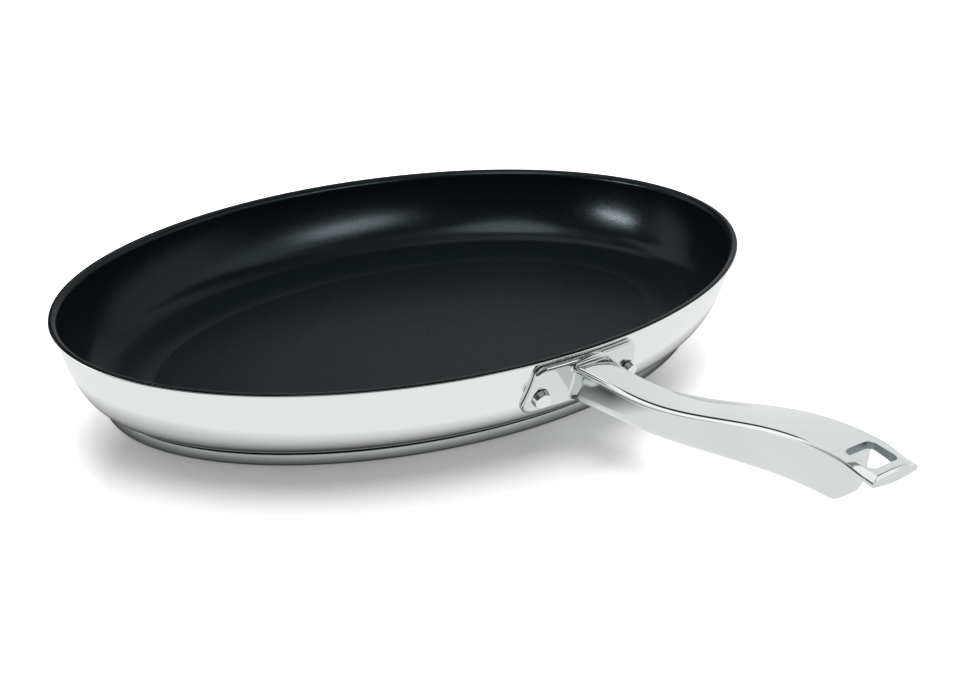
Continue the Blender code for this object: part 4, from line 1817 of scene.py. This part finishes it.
@dataclass
class Studio:
    """The pale floor, the soft lights, the surroundings that the steel mirrors and the camera."""

    azimuth: float = math.radians(-39.01)
    elevation: float = math.radians(22.66)
    distance: float = 0.97579
    slide: Pair = (-0.03374, -0.00292)
    lens: float = 75.0
    sensor: float = 36.0
    clip: Pair = (0.01, 50.0)
    floor_size: float = 8.0
    floor_sink: float = 0.00005
    floor_tint: Triple = (0.80, 0.80, 0.80)
    cloud_tint: Triple = (0.788, 0.788, 0.788)
    cloud_scale: float = 3.0
    # The floor's painted glow for camera rays: light added by reach from the shadow's ellipse, which
    # whitens the real shadow away from the pan.
    shadow_centre: Triple = (-0.062, -0.069, 0.0)
    shadow_size: Triple = (0.1355, 0.092, FLATTEN)
    painted_glow_span: Pair = (0.994, 1.427)
    lift: Pair = (0.18, 0.88)
    # The floor as the steel mirrors it is a painted reflection: a glow by reach from the base, dark
    # round the base as painted shadow and bright farther out.
    base_size: Triple = (0.158, 0.108, FLATTEN)
    painted_floor_reflection_span: Pair = (1.0, 1.17)
    painted_floor_reflection: Pair = (0.06, 0.96)
    front_span: Pair = (-0.25, 0.05)
    front: Pair = (0.05, 1.0)
    side_span: Pair = (-0.04, 0.07)
    side: Pair = (1.3, 0.96)
    ceiling_span: Pair = (0.755, 0.785)
    ceiling: float = 0.30
    lamps: tuple[Lamp, ...] = (
        Lamp("top_lamp", 28.0, 76.0, 1.5, 1.7, 1.7, 28.0, Seen.MATT),
        Lamp("front_lamp", 163.0, 30.3, 1.12, 0.46, 0.16, 1.9, Seen.GLOSS),
        Lamp("high_front_lamp", -146.0, 64.0, 1.12, 0.55, 0.85, 3.6, Seen.GLOSS),
        Lamp("left_lamp", -82.6, 27.5, 1.06, 0.50, 0.05, 4.2, Seen.GLOSS),
    )
    patches: tuple[Patch, ...] = (
        Patch((-2.0, 30.0), (-0.20, 0.74), 0.04, soft=0.02),
        Patch((64.0, 90.0), (0.775, 0.88), 0.04, soft=0.015),
        Patch((88.0, 122.0), (0.60, 0.88), 0.04, soft=0.02),
        Patch((-36.0, -8.0), (0.80, 0.90), 0.04, soft=0.02),
        Patch((-60.0, -44.0), (0.42, 0.62), 0.05),
        Patch((-6.0, 33.0), (0.755, 1.01), 1.2, soft=0.015),
        Patch((31.0, 60.0), (0.885, 1.01), 1.2, soft=0.015),
        Patch((127.0, 162.0), (0.40, 0.66), 1.2),
    )
    built: dict[Lamp, Object] = field(default_factory=dict)

    def camera(self) -> Object:
        """Places the camera at the picture's viewpoint.

        Returns:
            The camera.
        """
        a, e = self.azimuth, self.elevation
        back = Vector((math.sin(a) * math.cos(e), -math.cos(a) * math.cos(e), math.sin(e)))
        right = Vector((math.cos(a), math.sin(a), 0.0))
        up = back.cross(right)
        data = bpy.data.cameras.new("camera")
        data.lens = self.lens
        data.sensor_width = self.sensor
        data.clip_start, data.clip_end = self.clip
        camera = bpy.data.objects.new("camera", data)
        place = back * self.distance - right * self.slide[0] - up * self.slide[1]
        turn = Matrix((right, up, back)).transposed().to_4x4()
        camera.matrix_world = Matrix.Translation(place) @ turn
        bpy.context.scene.collection.objects.link(camera)
        bpy.context.scene.camera = camera
        return camera

    def floor(self) -> Object:
        """The pale floor, which keeps the pan's shadow near its base and glows white farther out
        with painted light. In the steel's reflections the floor is painted alone: a glow that is
        dark round the pan's base as painted shadow and bright farther out.

        Returns:
            The floor.
        """
        material, writer, shader = blank_material("studio_floor")
        place = writer.add("ShaderNodeTexCoord").outputs["Object"]
        path = writer.add("ShaderNodeLightPath").outputs
        mirrored = writer.math("MAXIMUM", path["Is Glossy Ray"], path["Is Transmission Ray"])
        cloud = writer.noise(place, self.cloud_scale)
        tint = writer.mix(cloud, self.floor_tint, self.cloud_tint)
        # Glossy rays get no lit floor colour; they see only the painted reflection below.
        lit = writer.mix(writer.math("SUBTRACT", 1.0, mirrored), (0, 0, 0), tint)
        # Painted light: camera rays see the floor glow more with reach from the shadow's ellipse, so
        # the real shadow fades to white away from the pan.
        offset = writer.vector("SUBTRACT", place, self.shadow_centre)
        reach = writer.reach(writer.vector("DIVIDE", offset, self.shadow_size))
        lift = writer.ramp(reach, self.painted_glow_span, self.lift)
        seen = writer.math("MULTIPLY", path["Is Camera Ray"], lift)
        # Painted reflection: glossy rays see this glow alone, dark round the pan's base as painted
        # shadow and bright farther out.
        reach = writer.reach(writer.vector("DIVIDE", place, self.base_size))
        painted_floor_reflection = writer.ramp(reach, self.painted_floor_reflection_span, self.painted_floor_reflection)
        writer.give(shader, {
            "Roughness": 0.9,
            "Specular IOR Level": 0.0,
            "Base Color": lit,
            "Emission Color": (1, 1, 1, 1),
            "Emission Strength": writer.math("MULTIPLY_ADD", mirrored, painted_floor_reflection, seen),
        })
        half = self.floor_size / 2
        corners = [(-half, -half), (half, -half), (half, half), (-half, half)]
        corners = np.array([(*corner, -self.floor_sink) for corner in corners])
        floor = new_piece("floor", corners, [(0, 1, 2, 3)], material)
        return floor

    def world(self) -> bpy.types.World:
        """Bright surroundings behind the pan, a dim ceiling, a dark room in front, the patches.

        Returns:
            The world.
        """
        world = bpy.data.worlds.new("studio")
        bpy.context.scene.world = world
        world.use_nodes = True
        tree = world.node_tree
        tree.nodes.clear()
        writer = NodeWriter(tree)
        direction = writer.add("ShaderNodeTexCoord").outputs["Generated"]
        away = (-math.sin(self.azimuth), math.cos(self.azimuth), 0.0)
        sockets = {0: direction, 1: away}
        behind = writer.add("ShaderNodeVectorMath", sockets, operation="DOT_PRODUCT")
        front = writer.ramp(behind.outputs["Value"], self.front_span, self.front)
        x, y, height = writer.split(direction)
        azimuth = writer.math("ARCTAN2", x, y)
        sky = writer.math("MULTIPLY", front, writer.ramp(azimuth, self.side_span, self.side))
        above = writer.ramp(height, self.ceiling_span)
        sky = writer.math("MULTIPLY_ADD", above, writer.math("SUBTRACT", self.ceiling, sky), sky)
        for patch in self.patches:
            sky = patch.over(writer, sky, azimuth, height)
        camera = writer.add("ShaderNodeLightPath").outputs["Is Camera Ray"]
        sockets = {"Color": (1, 1, 1, 1), "Strength": writer.math("MAXIMUM", sky, camera)}
        background = writer.add("ShaderNodeBackground", sockets)
        writer.add("ShaderNodeOutputWorld", {"Surface": background.outputs[0]})
        return world

    def build(self) -> None:
        """Sets up the whole studio."""
        self.camera()
        self.floor()
        self.world()
        self.built = {lamp: lamp.build() for lamp in self.lamps}
        bpy.context.scene.view_settings.view_transform = "Standard"

    def glint(self, coated: Object) -> None:
        """Lets the gloss lamps light the coated piece alone.

        Args:
            coated: The coated piece.
        """
        group = bpy.data.collections.new("coated")
        group.objects.link(coated)
        for lamp, built in self.built.items():
            if lamp.seen is Seen.GLOSS:
                built.light_linking.receiver_collection = group


def main() -> None:
    """Builds every piece in order, dresses it and reports it."""
    logging.basicConfig(level=logging.INFO, format="%(name)s: %(message)s")
    studio = Studio()
    studio.build()
    oval = Oval()
    wall = Wall(oval)
    sweep = sweep_tree()
    steel = PolishedSteel("polished_steel_dressed").build()
    handle = Handle(wall)
    # The handle's steel is a darker copy of the pan's polished steel: painted shade that makes the
    # handle mirror less light.
    shaded_handle_steel = PolishedSteel(
        "polished_handle_steel", tint=(0.700, 0.728, 0.722), dull_tint=(0.665, 0.695, 0.690),
        lines=(900.0, 30.0, 900.0), hole=handle.hanging_hole(),
    ).build()
    satin = SatinSteel("satin_steel_dressed", oval.length / 2, oval.width / 2).build()
    coating = NonstickCoating("nonstick_coating_dressed").build()
    aluminium = BareAluminium("aluminium_dressed").build()

    shell = Shell(wall, sweep)
    rivets = Rivets(handle, rivets_tree(sweep))

    def drilled(piece: Object) -> Object:
        """Drills both rivet holes through a piece."""
        return carve(piece, [rivets.drill(side) for side in Side], "DIFFERENCE")

    hand_over(drilled(shell.body(steel)), Slot.POLISHED, "pan_body")
    studio.glint(hand_over(drilled(shell.lining(coating)), Slot.NONSTICK, "nonstick_lining"))
    hand_over(shell.cap(satin), Slot.SATIN, "base_cap")
    hand_over(drilled(handle.mount(shaded_handle_steel)), Slot.POLISHED, "handle_bracket")
    hand_over(handle.strip(shaded_handle_steel), Slot.POLISHED, "handle_top")
    hand_over(handle.shell(shaded_handle_steel), Slot.POLISHED, "handle_shell")
    rivet_steel = PolishedSteel("polished_rivet_steel", roughness=0.15, haze=0.10).build()
    hand_over(rivets.heads(rivet_steel), Slot.POLISHED, "rivet_left", "rivet_right")

    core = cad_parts["base_core"]
    core.data.materials.clear()
    core.data.materials.append(aluminium)
    log.info("base_core: the CAD node, in bare aluminium")


if __name__ == "__main__":
    main()
